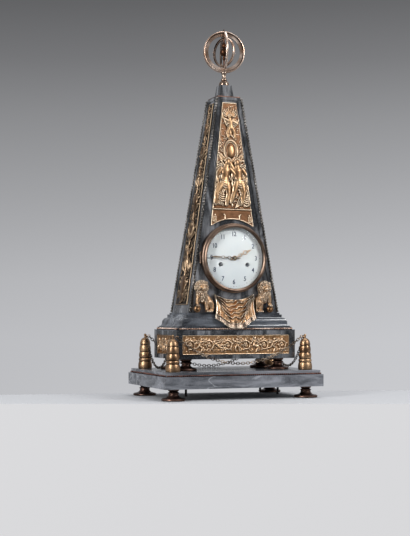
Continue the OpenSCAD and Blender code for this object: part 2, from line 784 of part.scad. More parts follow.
module lion_skin() {
  n = skin_cols + 1;
  m = skin_rows + 1;
  front = [for (j = [0:skin_rows], i = [0:skin_cols]) skin_point(i, j, true)];
  back = [for (j = [0:skin_rows], i = [0:skin_cols]) skin_point(i, j, false)];
  cells = [for (j = [0:skin_rows - 1], i = [0:skin_cols - 1]) j * n + i];
  rim = concat(
    [for (i = [0:skin_cols - 1]) [i, i + 1]],
    [for (j = [0:skin_rows - 1]) [j * n + skin_cols, (j + 1) * n + skin_cols]],
    [for (i = [skin_cols:-1:1]) [skin_rows * n + i, skin_rows * n + i - 1]],
    [for (j = [skin_rows:-1:1]) [j * n, (j - 1) * n]]
  );
  color(gilt)
    polyhedron(
      points = concat(front, back),
      faces = concat(
        [for (c = cells) each [[c, c + 1, c + n + 1], [c, c + n + 1, c + n]]],
        [for (c = cells) each [[n * m + c, n * m + c + n + 1, n * m + c + 1],
          [n * m + c, n * m + c + n, n * m + c + n + 1]]],
        [for (r = rim) each [[r[1], r[0], n * m + r[0]], [r[1], n * m + r[0], n * m + r[1]]]]
      )
    );
}

// Cap: thin plate, marble block, turned stem and a bolt through all three
cap_plate_h = 2;
cap_z = obelisk_top + cap_plate_h;
stem_z = cap_z + cap_h;
bolt_d = 5;
bolt_hole_r = bolt_d / 2 + run;
bolt_h = cap_plate_h + cap_h + wall_t;
sphere_seat = 1;
sphere_z = stem_z + stem_h + sphere_r - sphere_seat;
module cap_plate() {
  color(bronze)
    difference() {
      translate([-top_w / 2 + 1, -top_d / 2 + 1, obelisk_top]) cube([top_w - 2, top_d - 2, cap_plate_h]);
      translate([0, 0, obelisk_top - 1]) cylinder(r = bolt_hole_r, h = cap_plate_h + 2, $fn = 32);
    }
}
module cap_block() {
  outline = [[cap_w / 2, cap_z], [cap_w / 2, cap_z + 1.5], [cap_top_w / 2, stem_z]];
  color(marble)
    difference() {
      mitred(outline, outline);
      translate([0, 0, cap_z - 1]) cylinder(r = bolt_hole_r, h = cap_h + 2, $fn = 32);
    }
}
// The stem's socket holds the spindle's foot
spindle_r = 1.3;
module finial_stem() {
  collar = cap_top_w / 2 - 0.5;
  color(gilt)
    translate([0, 0, stem_z])
      difference() {
        union() {
          rotate_extrude()
            polygon(concat(
              [[0, 0], [collar, 0], [collar, 1.6]],
              [for (a = [0:15:75]) [4.6 + (collar - 5.2) * cos(a), 2 + 7 * sin(a)]],
              [[5, 9.6], [5.6, 10.4], [5.6, 11.6], [4.2, 12.6]],
              [for (a = [0:20:180]) [4.4 - 0.8 * sin(a), 12.6 + (stem_h - 15) * a / 180]],
              [[4.9, stem_h - 1.8], [5.2, stem_h - 1], [5.2, stem_h], [0, stem_h]]
            ));
          translate([0, 0, -bolt_h]) cylinder(d = bolt_d, h = bolt_h + 1, $fn = 32);
        }
        translate([0, 0, stem_h - 5]) cylinder(r = spindle_r + run, h = 6, $fn = 32);
      }
}
// Two fixed rings at right angles: a stout rim with a thinner web inside it. The spindle's holes
// go through them at top and bottom, and a flat below sits on the stem
module standing_ring(outer, inner, thick) {
  rim = (outer - inner) * 0.42;
  rotate([90, 0, 0])
    rotate_extrude($fn = 96)
      polygon(concat(
        [[inner, -thick * 0.2], [outer - rim, -thick * 0.2]],
        [for (a = [-150:20:150]) [outer - rim / 2 + rim / 2 * cos(a), thick / 2 * sin(a)]],
        [[outer - rim, thick * 0.2], [inner, thick * 0.2]]
      ));
}
module armillary_frame() {
  color(gilt)
    translate([0, 0, sphere_z])
      rotate([0, 0, -sphere_turn])
        difference() {
          union() {
            standing_ring(sphere_r, sphere_r - sphere_ring_w, 8);
            rotate([0, 0, 90]) standing_ring(sphere_r - 0.5, sphere_r - sphere_ring_w + 0.5, 4);
          }
          translate([0, 0, -far / 2]) cylinder(r = spindle_r + run, h = far, $fn = 32);
          translate([-10, -10, -sphere_r - 20 + sphere_seat]) cube(20);
        }
}
module inner_ring() {
  color(gilt)
    translate([0, 0, sphere_z])
      rotate([0, 0, -sphere_turn - inner_turn])
        difference() {
          standing_ring(inner_ring_r, inner_ring_r - 3.6, 5);
          translate([0, 0, -far / 2]) cylinder(r = spindle_r + eps, h = far, $fn = 48);
        }
}
// Globe, turned in one with its spindle, a baluster above it, a knop below and the point on top
module globe() {
  low = -sphere_r + sphere_seat - 4.5;
  high = sphere_r + 0.5;
  color(gilt)
    translate([0, 0, sphere_z])
      rotate_extrude($fn = 48)
        polygon(concat(
          [[0, low], [spindle_r, low], [spindle_r, -globe_r * 2], [2.4, -globe_r * 1.8],
            [3, -globe_r * 1.5], [2.2, -globe_r * 1.2]],
          [for (a = [-70:10:70]) globe_r * [cos(a), sin(a)]],
          [[3, globe_r * 1.1], [4.2, globe_r * 1.3], [4.4, globe_r * 1.6], [3.2, globe_r * 2],
            [1.9, globe_r * 2.3], [spindle_r, globe_r * 2.6],
            [spindle_r, high], [0.2, high + 4], [0, high + 4]]
        ));
}

// Bezel: a fixed ring let into the marble, and a hinged ring that carries the domed glass
bezel_in = bezel_r - bezel_w;
ring_in = bezel_in + 2;
ring_front = seat_f + bezel_ring_h;
web_h = 2.5;
door_back = ring_front + gap;
door_front = door_back + bezel_door_h;
hinge_r = 1.8;
hinge_pin_r = 0.9;
hinge_x = -bezel_r - 2.2;
hinge_f = ring_front - 0.2;
knuckle_h = 6;
// Knuckles stand upright beside the ring, with a short leaf that reaches into it
module knuckle(z0, z1, f0, f1) {
  translate([hinge_x, -hinge_f, dial_z + z0]) cylinder(r = hinge_r, h = z1 - z0, $fn = 32);
  translate([hinge_x, -f1, dial_z + z0]) cube([-hinge_x - bezel_r + 1.4, f1 - f0, z1 - z0]);
}
module hinge_bore(r) {
  translate([hinge_x, -hinge_f, dial_z - 20]) cylinder(r = r, h = 40, $fn = 32);
}
module bezel_ring() {
  color(gilt) {
    difference() {
      union() {
        on_clock(0)
          rotate_extrude($fn = 96)
            polygon([
              [44, seat_f], [bezel_r, seat_f], [bezel_r, ring_front - 1.5], [bezel_r - 1, ring_front],
              [ring_in, ring_front], [ring_in, seat_f + web_h], [44, seat_f + web_h]
            ]);
        for (z = [knuckle_h / 2 + gap, -knuckle_h * 1.5 - gap])
          knuckle(z, z + knuckle_h, hinge_f - hinge_r, hinge_f);
      }
      hinge_bore(hinge_pin_r);
    }
    translate([hinge_x, -hinge_f, dial_z - knuckle_h * 1.5 - 1.2])
      cylinder(r = hinge_pin_r, h = knuckle_h * 3 + 2.4, $fn = 32);
  }
}
glass_r = bezel_in + 1.8;
glass_seat = door_back + 4;
// The door's lip clears the dome where it has risen inside the glass's rim
lip_back = glass_seat + glass_t + (glass_r - bezel_in) * 2.2 * glass_rise / glass_r + run;
module bezel_door() {
  color(gilt)
    difference() {
      union() {
        on_clock(0)
          rotate_extrude($fn = 96)
            polygon([
              [bezel_in, lip_back], [glass_r + 0.2, lip_back], [glass_r + 0.2, door_back],
              [bezel_r - 0.6, door_back], [bezel_r, door_back + 0.8], [bezel_r, door_back + 3],
              [bezel_r - 1.2, door_back + 4], [bezel_r - 1.4, door_back + 5.4],
              [bezel_r - 2.6, door_front - 1.2], [bezel_r - 4, door_front],
              [bezel_in + 1.6, door_front - 0.6], [bezel_in, door_front - 2.4]
            ]);
        knuckle(-knuckle_h / 2, knuckle_h / 2, door_back, hinge_f + hinge_r);
        on_clock(door_back + 3) translate([bezel_r - 1, 0, 0]) sphere(r = 2.4, $fn = 24);
      }
      hinge_bore(hinge_pin_r + run);
    }
}
// A shallow dome of even thickness: rim radius, rise in the middle, thickness
function dome(r, rise_h, back) = let (big = (r * r + rise_h * rise_h) / (2 * rise_h)) [
  for (i = [0:12]) let (x = r * (1 - i / 12)) [x, back + sqrt(big * big - x * x) - (big - rise_h)]
];
function shell(r, rise_h, back, t) = concat(
  dome(r, rise_h, back + t),
  [for (i = [12:-1:0]) dome(r, rise_h, back)[i]]
);
module bezel_glass() {
  color([0.8, 0.9, 0.95, 0.35])
    on_clock(0) rotate_extrude($fn = 96) polygon(shell(glass_r, glass_rise, glass_seat, glass_t));
}

// Dial: domed enamel on copper with three feet, the centre hole and two winding holes
dial_r = ring_in - 0.4;
dial_t = 1.5;
dial_edge = ring_front - 3.5;
dial_front = dial_edge + dial_t + dial_rise;
pipe_hole_r = 3.4;
winding = [[winding_x, -winding_drop], [-winding_x, -winding_drop]];
module dial() {
  color([0.95, 0.95, 0.92])
    difference() {
      on_clock(0) {
        rotate_extrude($fn = 96) polygon(shell(dial_r, dial_rise, dial_edge, dial_t));
        for (a = [90, 210, 330])
          translate([0, 0, seat_f]) rotate([0, 0, a]) translate([40, 0, 0])
            cylinder(r = 1.2, h = dial_edge + 1.7 - seat_f, $fn = 24);
      }
      on_clock(seat_f + 1) {
        cylinder(r = pipe_hole_r, h = 20);
        for (p = winding) translate(p) cylinder(r = winding_hole_r, h = 20);
      }
    }
}

// Hands: each is drawn pointing at twelve and turned to its angle
hand_t = 0.7;
hour_f = dial_front + 0.8;
minute_f = hour_f + hand_t + 0.8;
cannon_r = 1.6;
hour_pipe_r = 2.6;
// An open loop in a hand, with its middle this far from the hand's centre
function oval(rx, ry) = [for (a = [0:15:345]) [rx * cos(a), ry * sin(a)]];
module loop(y, rx, ry, web) {
  translate([0, y])
    difference() {
      polygon(oval(rx, ry));
      polygon(oval(rx - web, ry - web));
    }
}
module hour_hand() {
  color(gilt)
    on_clock(hour_f)
      rotate([0, 0, -hour_angle])
        linear_extrude(hand_t)
          difference() {
            union() {
              circle(r = 4.4);
              translate([-1, 3]) square([2, hour_len * 0.18]);
              loop(hour_len * 0.34, 3.2, 3.4, 1.2);
              translate([-0.9, hour_len * 0.41]) square([1.8, hour_len * 0.16]);
              loop(hour_len * 0.64, 4.2, 4.2, 1.4);
              polygon([[-2.6, hour_len * 0.74], [2.6, hour_len * 0.74], [0.4, hour_len], [-0.4, hour_len]]);
              polygon([[-1.8, -3], [1.8, -3], [0.5, -9], [-0.5, -9]]);
            }
            circle(r = hour_pipe_r);
          }
}
module minute_hand() {
  color(gilt)
    on_clock(minute_f)
      rotate([0, 0, -minute_angle])
        difference() {
          union() {
            linear_extrude(hand_t) {
              circle(r = 3.4);
              polygon([[-1.1, 2], [1.1, 2], [0.9, minute_len * 0.16], [-0.9, minute_len * 0.16]]);
              loop(minute_len * 0.22, 2.8, 3.6, 1);
              polygon([[-0.9, minute_len * 0.28], [0.9, minute_len * 0.28], [0.8, minute_len * 0.42],
                [-0.8, minute_len * 0.42]]);
              loop(minute_len * 0.48, 2.5, 3.4, 0.9);
              polygon([[-0.9, minute_len * 0.54], [0.9, minute_len * 0.54], [1.7, minute_len * 0.78],
                [0.3, minute_len], [-0.3, minute_len], [-1.7, minute_len * 0.78]]);
              polygon([[-1.4, -2], [1.4, -2], [0.4, -11], [-0.4, -11]]);
            }
            cylinder(r = 2.8, h = 1.8);
          }
          translate([0, 0, -1]) cylinder(r = cannon_r, h = 6);
        }
}

// Wheels and pinions: straight-sided teeth, crossed out between four arms
function tooth(n, i, root, tip, at_root, at_tip) = let (a = 360 * i / n) [
  polar(root, a - at_root * 180 / n), polar(tip, a - at_tip * 180 / n),
  polar(tip, a + at_tip * 180 / n), polar(root, a + at_root * 180 / n)
];
// One tooth points at angle zero
module wheel_rim(teeth, mod) {
  r = teeth * mod / 2;
  polygon([for (i = [0:teeth - 1]) each tooth(teeth, i, r - mod * 1.15, r + mod * 0.75, 0.52, 0.16)]);
}
module pinion_rim(leaves, mod) {
  r = leaves * mod / 2;
  polygon([for (i = [0:leaves - 1]) each tooth(leaves, i, r - mod * 1.25, r + mod * 0.5, 0.42, 0.26)]);
}
module wheel(teeth, mod, t, hub_r, bore_r) {
  rim_in = teeth * mod / 2 - mod * 1.2 - 1.8;
  linear_extrude(t)
    difference() {
      wheel_rim(teeth, mod);
      difference() {
        circle(r = rim_in);
        circle(r = hub_r);
        for (a = [45, 135]) rotate([0, 0, a]) square([2 * rim_in, 1.6], center = true);
      }
      circle(r = bore_r);
    }
}
module pinion(leaves, mod, t, bore_r) {
  linear_extrude(t)
    difference() {
      pinion_rim(leaves, mod);
      circle(r = bore_r);
    }
}

// Arbor places, seen from the front with the dial's centre at the origin
anchor_rise = 37.6;
centre_c = [0, 0];
going_c = winding[0];
strike_c = winding[1];
great_len = (barrel_teeth + great_leaves) / 2 * barrel_mod;
second_len = (second_teeth + centre_leaves) / 2 * second_mod;
centre_len = (train_teeth + train_leaves) / 2 * centre_mod;
third_len = (train_teeth + train_leaves) / 2 * third_mod;
second_c = corner(centre_c, second_len, going_c, great_len);
escape_c = [0, 25];
third_c = corner(centre_c, centre_len, escape_c, third_len);
anchor_c = [0, anchor_rise];
count_c = strike_c + great_len * [cos(-50), sin(-50)];
hammer_c = [-24, 31];

// Layers from the back plate forwards
plate_f = seat_f - plate_t;
back_f = plate_f - plate_gap;
back_plate_f = back_f - plate_t;
pivot_r = 0.5;
pivot_out = 1.2;
arbor_r = 0.8;
pillar_r = 2.8;
pillar_places = [for (a = [57, 140, -74, -106]) polar(plate_r - 4.4, a)];
// A plain arbor with a pivot at each end, running in both plates
module arbor(place) {
  translate([place[0], place[1], back_f + 0.2]) cylinder(r = arbor_r, h = plate_gap - 0.4, $fn = 32);
  translate([place[0], place[1], back_f - pivot_out])
    cylinder(r = pivot_r, h = plate_gap + 2 * pivot_out, $fn = 32);
}
module pivot_holes() {
  for (p = [second_c, third_c, escape_c])
    translate([p[0], p[1], -1]) cylinder(r = pivot_r + run, h = plate_t + 2, $fn = 32);
}
barrel_arbor_r = 2.6;
centre_arbor_r = 1;
module front_plate() {
  color(brass) {
    on_clock(plate_f)
      difference() {
        cylinder(r = plate_r, h = plate_t, $fn = 96);
        pivot_holes();
        translate([0, 0, -1]) {
          cylinder(r = centre_arbor_r + run, h = plate_t + 2, $fn = 32);
          for (p = winding) translate(p) cylinder(r = barrel_arbor_r + run, h = plate_t + 2, $fn = 32);
          for (p = [count_c, hammer_c, anchor_c])
            translate([p[0], p[1], 0]) cylinder(r = pivot_r + run, h = plate_t + 2, $fn = 32);
        }
      }
    on_clock(back_f)
      for (p = pillar_places) translate(p) cylinder(r = pillar_r, h = plate_gap, $fn = 32);
    on_clock(plate_f + plate_t)
      translate(minute_c) cylinder(r = 1, h = 4.6, $fn = 32);
  }
}
module back_plate() {
  color(brass)
    on_clock(back_plate_f)
      difference() {
        union() {
          cylinder(r = plate_r - 1, h = plate_t, $fn = 96);
          for (p = pillar_places) translate([p[0], p[1], -1.6]) cylinder(r = 2, h = 2, $fn = 32);
          translate([-5, anchor_c[1] + 2.6, -10]) cube([10, 3, 11]);
        }
        pivot_holes();
        translate([0, 0, -1]) {
          cylinder(r = pivot_r + run, h = plate_t + 2, $fn = 32);
          for (p = winding) translate(p) cylinder(r = barrel_arbor_r + run, h = plate_t + 2, $fn = 32);
          translate(anchor_c) cylinder(r = 2, h = plate_t + 2);
          for (p = [count_c, hammer_c]) translate(p) cylinder(r = arbor_r + run, h = plate_t + 2, $fn = 32);
        }
      }
}

// Barrels turn on the winding arbors, whose squares come through the dial
barrel_h = 12;
barrel_f = plate_f - 0.8 - barrel_h;
drum_r = barrel_teeth * barrel_mod / 2 - 1.6;
module barrel(place, mate) {
  color(brass)
    on_clock(barrel_f)
      translate(place)
        difference() {
          union() {
            cylinder(r = drum_r, h = barrel_h);
            translate([0, 0, barrel_h - 2])
              rotate([0, 0, aim(place, mate)])
                linear_extrude(1.6)
                  wheel_rim(barrel_teeth, barrel_mod);
          }
          translate([0, 0, 1]) difference() {
            cylinder(r = drum_r - 1.2, h = barrel_h - 2);
            translate([0, 0, -1]) cylinder(r = barrel_arbor_r + 1.6, h = barrel_h + 2);
          }
          translate([0, 0, -1]) cylinder(r = barrel_arbor_r + run, h = barrel_h + 2, $fn = 32);
        }
}
module going_barrel() {
  barrel(going_c, second_c);
}
module strike_barrel() {
  barrel(strike_c, count_c);
}
// Winding arbor: shaft, ratchet in front of the front plate and the key's square
ratchet_teeth = 18;
ratchet_r = 7.4;
module winding_arbor(place) {
  square_w = 3;
  tip = dial_front + 0.6;
  color(steel)
    on_clock(0)
      translate(place) {
        translate([0, 0, back_plate_f - 1])
          cylinder(r = barrel_arbor_r, h = seat_f + 2.4 - back_plate_f, $fn = 32);
        translate([0, 0, seat_f + gap])
          linear_extrude(1.5)
            polygon([for (i = [0:ratchet_teeth - 1])
              each [polar(ratchet_r, 360 * i / ratchet_teeth),
                polar(ratchet_r - 1.1, 360 * (i + 0.12) / ratchet_teeth)]]);
        translate([-square_w / 2, -square_w / 2, seat_f + 1]) cube([square_w, square_w, tip - seat_f - 1]);
      }
}
module going_arbor() {
  winding_arbor(going_c);
}
module strike_arbor() {
  winding_arbor(strike_c);
}

// Going train
second_f = back_f + 4.5;
centre_f = back_f + 7;
third_f = back_f + 2;
module on_arbor(place, f, angle) {
  on_clock(f) translate(place) rotate([0, 0, angle]) children();
}
module second_wheel() {
  color(brass) {
    on_clock(0) arbor(second_c);
    on_arbor(second_c, barrel_f + barrel_h - 2.6, aim(second_c, going_c) + 180 / great_leaves)
      pinion(great_leaves, barrel_mod, 2.8, 0);
    on_arbor(second_c, second_f, aim(second_c, centre_c))
      wheel(second_teeth, second_mod, 1.4, 4, 0);
  }
}
module centre_wheel() {
  color(brass) {
    on_clock(back_f - pivot_out) cylinder(r = pivot_r, h = 3, $fn = 32);
    on_clock(back_f + 0.2) cylinder(r = centre_arbor_r, h = minute_f - back_f + 2.8, $fn = 32);
    on_arbor(centre_c, second_f - 0.6, aim(centre_c, second_c) + 180 / centre_leaves)
      pinion(centre_leaves, second_mod, 2.6, 0);
    on_arbor(centre_c, centre_f, aim(centre_c, third_c))
      wheel(train_teeth, centre_mod, 1.2, 3.6, 0);
  }
}
module third_wheel() {
  color(brass) {
    on_clock(0) arbor(third_c);
    on_arbor(third_c, centre_f - 0.6, aim(third_c, centre_c) + 180 / train_leaves)
      pinion(train_leaves, centre_mod, 2.4, 0);
    on_arbor(third_c, third_f, aim(third_c, escape_c))
      wheel(train_teeth, third_mod, 1, 3, 0);
  }
}
module escape_wheel() {
  color(brass) {
    on_clock(0) arbor(escape_c);
    on_arbor(escape_c, third_f - 0.6, aim(escape_c, third_c) + 180 / train_leaves)
      pinion(train_leaves, third_mod, 2.2, 0);
    on_arbor(escape_c, back_f + 13, 0)
      linear_extrude(1.2)
        difference() {
          polygon([for (i = [0:escape_teeth - 1])
            each [polar(escape_r, 360 * i / escape_teeth),
              polar(escape_r - 1.8, 360 * (i + 0.35) / escape_teeth),
              polar(escape_r - 1.8, 360 * (i + 0.8) / escape_teeth)]]);
          difference() {
            circle(r = escape_r - 3);
            circle(r = 2.4);
            for (a = [0, 90]) rotate([0, 0, a]) square([2 * escape_r, 1.2], center = true);
          }
        }
  }
}
// The strike side's second arbor carries the notched count wheel behind the back plate
module count_wheel() {
  count_r = 12;
  color(brass) {
    on_clock(back_plate_f - 3) translate(count_c)
      cylinder(r = arbor_r, h = plate_f - 0.2 - back_plate_f + 3, $fn = 32);
    on_clock(plate_f - 1) translate(count_c) cylinder(r = pivot_r, h = 1 + pivot_out, $fn = 32);
    on_arbor(count_c, barrel_f + barrel_h - 2.6, aim(count_c, strike_c) + 180 / great_leaves)
      pinion(great_leaves, barrel_mod, 2.8, 0);
    on_arbor(count_c, back_plate_f - 3.4, 0)
      linear_extrude(1.2)
        difference() {
          circle(r = count_r);
          // Notches after one, two, three blows and so on, twelve hours with their half hours
          for (h = [1:12])
            rotate([0, 0, 360 * (h * (h + 1) / 2 + h) / 90])
              translate([count_r - 1.6, -0.5]) square([2, 1]);
          for (a = [0:60:300]) rotate([0, 0, a]) translate([6.4, 0]) circle(r = 2);
        }
  }
}

// Wheels behind the dial: minutes to hours, one to twelve
cannon_teeth = 12;
minute_teeth = 36;
minute_leaves = 10;
hour_teeth = 40;
motion_len = (cannon_teeth + minute_teeth) / 2 * motion_mod;
hour_mod = 2 * motion_len / (minute_leaves + hour_teeth);
minute_c = [0, motion_len];
cannon_f = seat_f + 0.6;
hour_wheel_f = cannon_f + 2;
module cannon_pinion() {
  color(steel)
    on_clock(0)
      difference() {
        union() {
          translate([0, 0, cannon_f]) cylinder(r = cannon_r, h = minute_f + 1.6 - cannon_f, $fn = 32);
          translate([0, 0, cannon_f])
            rotate([0, 0, 90])
              pinion(cannon_teeth, motion_mod, 1.4, 0);
        }
        translate([0, 0, cannon_f - 1]) cylinder(r = centre_arbor_r + run, h = 30, $fn = 32);
      }
}
module minute_wheel() {
  color(brass)
    on_clock(cannon_f)
      translate(minute_c)
        difference() {
          union() {
            rotate([0, 0, -90 + 180 / minute_teeth]) wheel(minute_teeth, motion_mod, 1.2, 3, 0);
            rotate([0, 0, -90]) pinion(minute_leaves, hour_mod, 3.6, 0);
          }
          translate([0, 0, -1]) cylinder(r = 1 + run, h = 8, $fn = 32);
        }
}
module hour_wheel() {
  color(brass)
    on_clock(hour_wheel_f)
      difference() {
        union() {
          rotate([0, 0, 90 + 180 / hour_teeth]) wheel(hour_teeth, hour_mod, 1.2, 4, 0);
          cylinder(r = hour_pipe_r, h = hour_f + hand_t - hour_wheel_f, $fn = 32);
        }
        translate([0, 0, -1]) cylinder(r = cannon_r + run, h = 20, $fn = 32);
      }
}

// Anchor between the plates, its arbor through the back plate, and the crutch behind
module pallet_anchor() {
  pad_r = norm(anchor_c - escape_c);
  color(steel) {
    on_clock(back_plate_f - 5.6) translate(anchor_c)
      cylinder(r = arbor_r, h = plate_f - 0.2 - back_plate_f + 5.6, $fn = 32);
    on_clock(plate_f - 1) translate(anchor_c) cylinder(r = pivot_r, h = 1 + pivot_out, $fn = 32);
    on_clock(back_f + 12.6)
      linear_extrude(2)
        difference() {
          translate(anchor_c)
            union() {
              circle(r = 2.6);
              for (s = [-1, 1])
                rotate([0, 0, -90 + s * 44])
                  translate([0, -1])
                    square([pad_r * 0.82, 2]);
            }
          translate(escape_c) circle(r = escape_r + 0.9);
        }
    on_clock(back_plate_f - 5.4) {
      translate(anchor_c) cylinder(r = 2.2, h = 1.2, $fn = 32);
      translate([anchor_c[0] - 0.8, anchor_c[1] - 30, 0]) cube([1.6, 30, 1.2]);
    }
    for (s = [-1, 1])
      on_clock(back_plate_f - 11)
        translate([anchor_c[0] + s * 1.4 - 0.4, anchor_c[1] - 30, 0]) cube([0.8, 2, 5.6]);
    on_clock(back_plate_f - 5.4) translate([-1.8, anchor_c[1] - 30, 0]) cube([3.6, 2, 1]);
  }
}
// Pendulum hung by a spring in the cock above the anchor
pendulum_f = back_plate_f - 9;
bob_nut = 2.6;
pendulum_len = dial_z + anchor_rise - obelisk_z - pendulum_clear - bob_r - bob_nut;
module pendulum() {
  top = anchor_c[1];
  color(brass) {
    on_clock(pendulum_f) {
      translate([-0.9, top - pendulum_len, -0.9]) cube([1.8, pendulum_len - 4, 1.8]);
      translate([-2.5, top - 4.2, -0.9]) cube([5, 3, 1.8]);
      translate([-2, top - 1.4, -0.15]) cube([4, 3.2, 0.3]);
    }
    on_clock(pendulum_f)
      translate([0, top - pendulum_len, 0])
        rotate_extrude()
          polygon([[0, -3], [bob_r - 2.5, -2.2], [bob_r, 0], [bob_r - 2.5, 2.2], [0, 3]]);
    on_clock(pendulum_f) translate([0, top - pendulum_len - bob_r - bob_nut + 1, 0])
      cylinder(r = 1.8, h = 2, center = true, $fn = 32);
  }
}

// Bell, its stand and the hammer that strikes its lip from outside
bell_c = [0, -6];
bell_f = back_plate_f - 15.5;
bell_h = 14;
module bell() {
  color(brass)
    on_clock(bell_f)
      translate(bell_c)
        mirror([0, 0, 1])
          rotate_extrude()
            polygon(concat(
              [[bell_r, 0]],
              [for (a = [0:15:75]) [2.2 + (bell_r - 3) * cos(a), 1 + (bell_h - 1) * sin(a)]],
              [[1.6, bell_h], [1.6, bell_h - 1.8]],
              [for (a = [75:-15:0]) [2.2 + (bell_r - 4.8) * cos(a), 0.8 + (bell_h - 2.8) * sin(a)]],
              [[bell_r - 2, 0]]
            ));
}
module bell_stand() {
  foot = [-27, -29];
  back = bell_f - bell_h;
  color(steel) {
    on_clock(back - 2) translate(foot) cylinder(r = 2, h = back_plate_f - back + 2, $fn = 32);
    on_clock(back - 2)
      linear_extrude(1.8)
        difference() {
          union() {
            translate(bell_c) circle(r = 4);
            translate(foot) circle(r = 3);
            polygon([foot + [-1.6, 1.8], foot + [1.8, -1.6], bell_c + [2, -2.6], bell_c + [-2.6, 2]]);
          }
        }
    on_clock(back - 3.6) translate(bell_c) cylinder(r = 2.6, h = 1.8, $fn = 32);
    on_clock(back - 0.4) translate(bell_c) cylinder(r = 1.5, h = bell_h - 4, $fn = 32);
  }
}
module hammer() {
  head = bell_c + polar(bell_r + 3.4, 118);
  color(steel) {
    on_clock(back_plate_f - 16) translate(hammer_c)
      cylinder(r = arbor_r, h = plate_f - 0.2 - back_plate_f + 16, $fn = 32);
    on_clock(plate_f - 1) translate(hammer_c) cylinder(r = pivot_r, h = 1 + pivot_out, $fn = 32);
    on_clock(back_plate_f - 17)
      linear_extrude(1.6)
        polygon([hammer_c + [-1.4, -1.4], head + [0, -1.4], head + [1.2, 0.8], hammer_c + [0.8, 1.6]]);
    on_clock(back_plate_f - 19.4) translate(head) cylinder(r = 2.8, h = 6, $fn = 32);
    on_clock(back_plate_f - 17) translate(hammer_c) cylinder(r = 2.4, h = 1.6, $fn = 32);
  }
}

// Rear ring in the marble with its door, and the straps that clamp front and rear together
rear_door_r = rear_r - 2;
strap_screw_r = 1.5;
rear_ring_h = 4.6;
rear_hinge_x = rear_r + 2;
rear_hinge_f = rear_seat + rear_ring_h + 2.2;
module rear_knuckle(z0, z1, x0, y0, y1) {
  translate([rear_hinge_x, rear_hinge_f, dial_z + z0]) cylinder(r = hinge_r, h = z1 - z0, $fn = 32);
  translate([x0, y0, dial_z + z0]) cube([rear_hinge_x - x0, y1 - y0, z1 - z0]);
}
module rear_ring() {
  color(brass)
    difference() {
      union() {
        on_clock(0)
          rotate_extrude($fn = 96)
            polygon([
              [44, -rear_seat], [44, -rear_seat - rear_ring_h], [rear_r - 0.6, -rear_seat - rear_ring_h],
              [rear_r, -rear_seat - rear_ring_h + 0.6], [rear_r, -rear_seat]
            ]);
        for (z = [knuckle_h / 2 + gap, -knuckle_h * 1.5 - gap])
          rear_knuckle(z, z + knuckle_h, rear_door_r + 0.6, rear_seat + rear_ring_h - 0.2, rear_hinge_f - 1);
        translate([rear_hinge_x, rear_hinge_f, dial_z - knuckle_h * 1.5 - 1.2])
          cylinder(r = hinge_pin_r, h = knuckle_h * 3 + 2.4, $fn = 32);
      }
      for (a = [0, 180]) on_clock(-rear_seat - rear_ring_h - 1)
        rotate([0, 0, a]) translate([strap_r, 0, 0])
          cylinder(r = strap_screw_r + run, h = rear_ring_h + 2, $fn = 32);
    }
}
module rear_door() {
  y0 = rear_seat + rear_ring_h + gap;
  color(brass)
    difference() {
      union() {
        on_clock(0)
          rotate_extrude($fn = 96)
            polygon([
              [0, -y0 - 2.6], [rear_door_r * 0.5, -y0 - 2.4], [rear_door_r - 4, -y0 - 1.6],
              [rear_door_r - 1, -y0 - 1.4], [rear_door_r, -y0 - 0.8], [rear_door_r, -y0],
              [rear_door_r - 4, -y0], [rear_door_r * 0.5, -y0 - 0.8], [0, -y0 - 1]
            ]);
        rear_knuckle(-knuckle_h / 2, knuckle_h / 2, rear_door_r - 2, y0, y0 + 1.6);
        translate([-rear_door_r + 6, y0 + 1.2, dial_z]) rotate([-90, 0, 0]) cylinder(r = 2, h = 3, $fn = 32);
      }
      translate([rear_hinge_x, rear_hinge_f, dial_z - 20]) cylinder(r = hinge_pin_r + run, h = 40, $fn = 32);
    }
}
strap_t = 2;
strap_r = case_hole_r - strap_t / 2 - 0.6;
module case_straps() {
  color(brass)
    for (side = [-1, 1]) translate([side * strap_r, 0, dial_z]) {
      translate([-strap_t / 2, -seat_f, -5]) cube([strap_t, seat_f + rear_seat, 10]);
      rotate([-90, 0, 0])
        translate([0, 0, rear_seat - 0.5])
          cylinder(r = strap_screw_r, h = rear_ring_h - 0.5, $fn = 32);
    }
}

slab_feet();
base_slab();
base_plate();
plate_beads();
bollards();
chain_front();
chain_back();
chain_left();
chain_right();
pedestal_feet();
tie_rods();
pedestal_box();
frieze_front();
frieze_left();
frieze_right();
cornice();
cornice_beads();
obelisk_body();
corner_beads();
relief_front();
relief_left();
relief_right();
lion_left();
lion_right();
lion_skin();
cap_plate();
cap_block();
finial_stem();
armillary_frame();
inner_ring();
globe();
bezel_ring();
bezel_door();
bezel_glass();
dial();
hour_hand();
minute_hand();
hour_wheel();
minute_wheel();
cannon_pinion();
front_plate();
back_plate();
going_barrel();
strike_barrel();
going_arbor();
strike_arbor();
second_wheel();
centre_wheel();
third_wheel();
escape_wheel();
count_wheel();
pallet_anchor();
pendulum();
bell();
bell_stand();
hammer();
rear_ring();
rear_door();
case_straps();
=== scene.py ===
"""Dresses the obelisk clock in marble, gilding and enamel, and carves what the solids leave plain."""

import math

import bpy
import numpy as np
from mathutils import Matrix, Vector
from mathutils.bvhtree import BVHTree


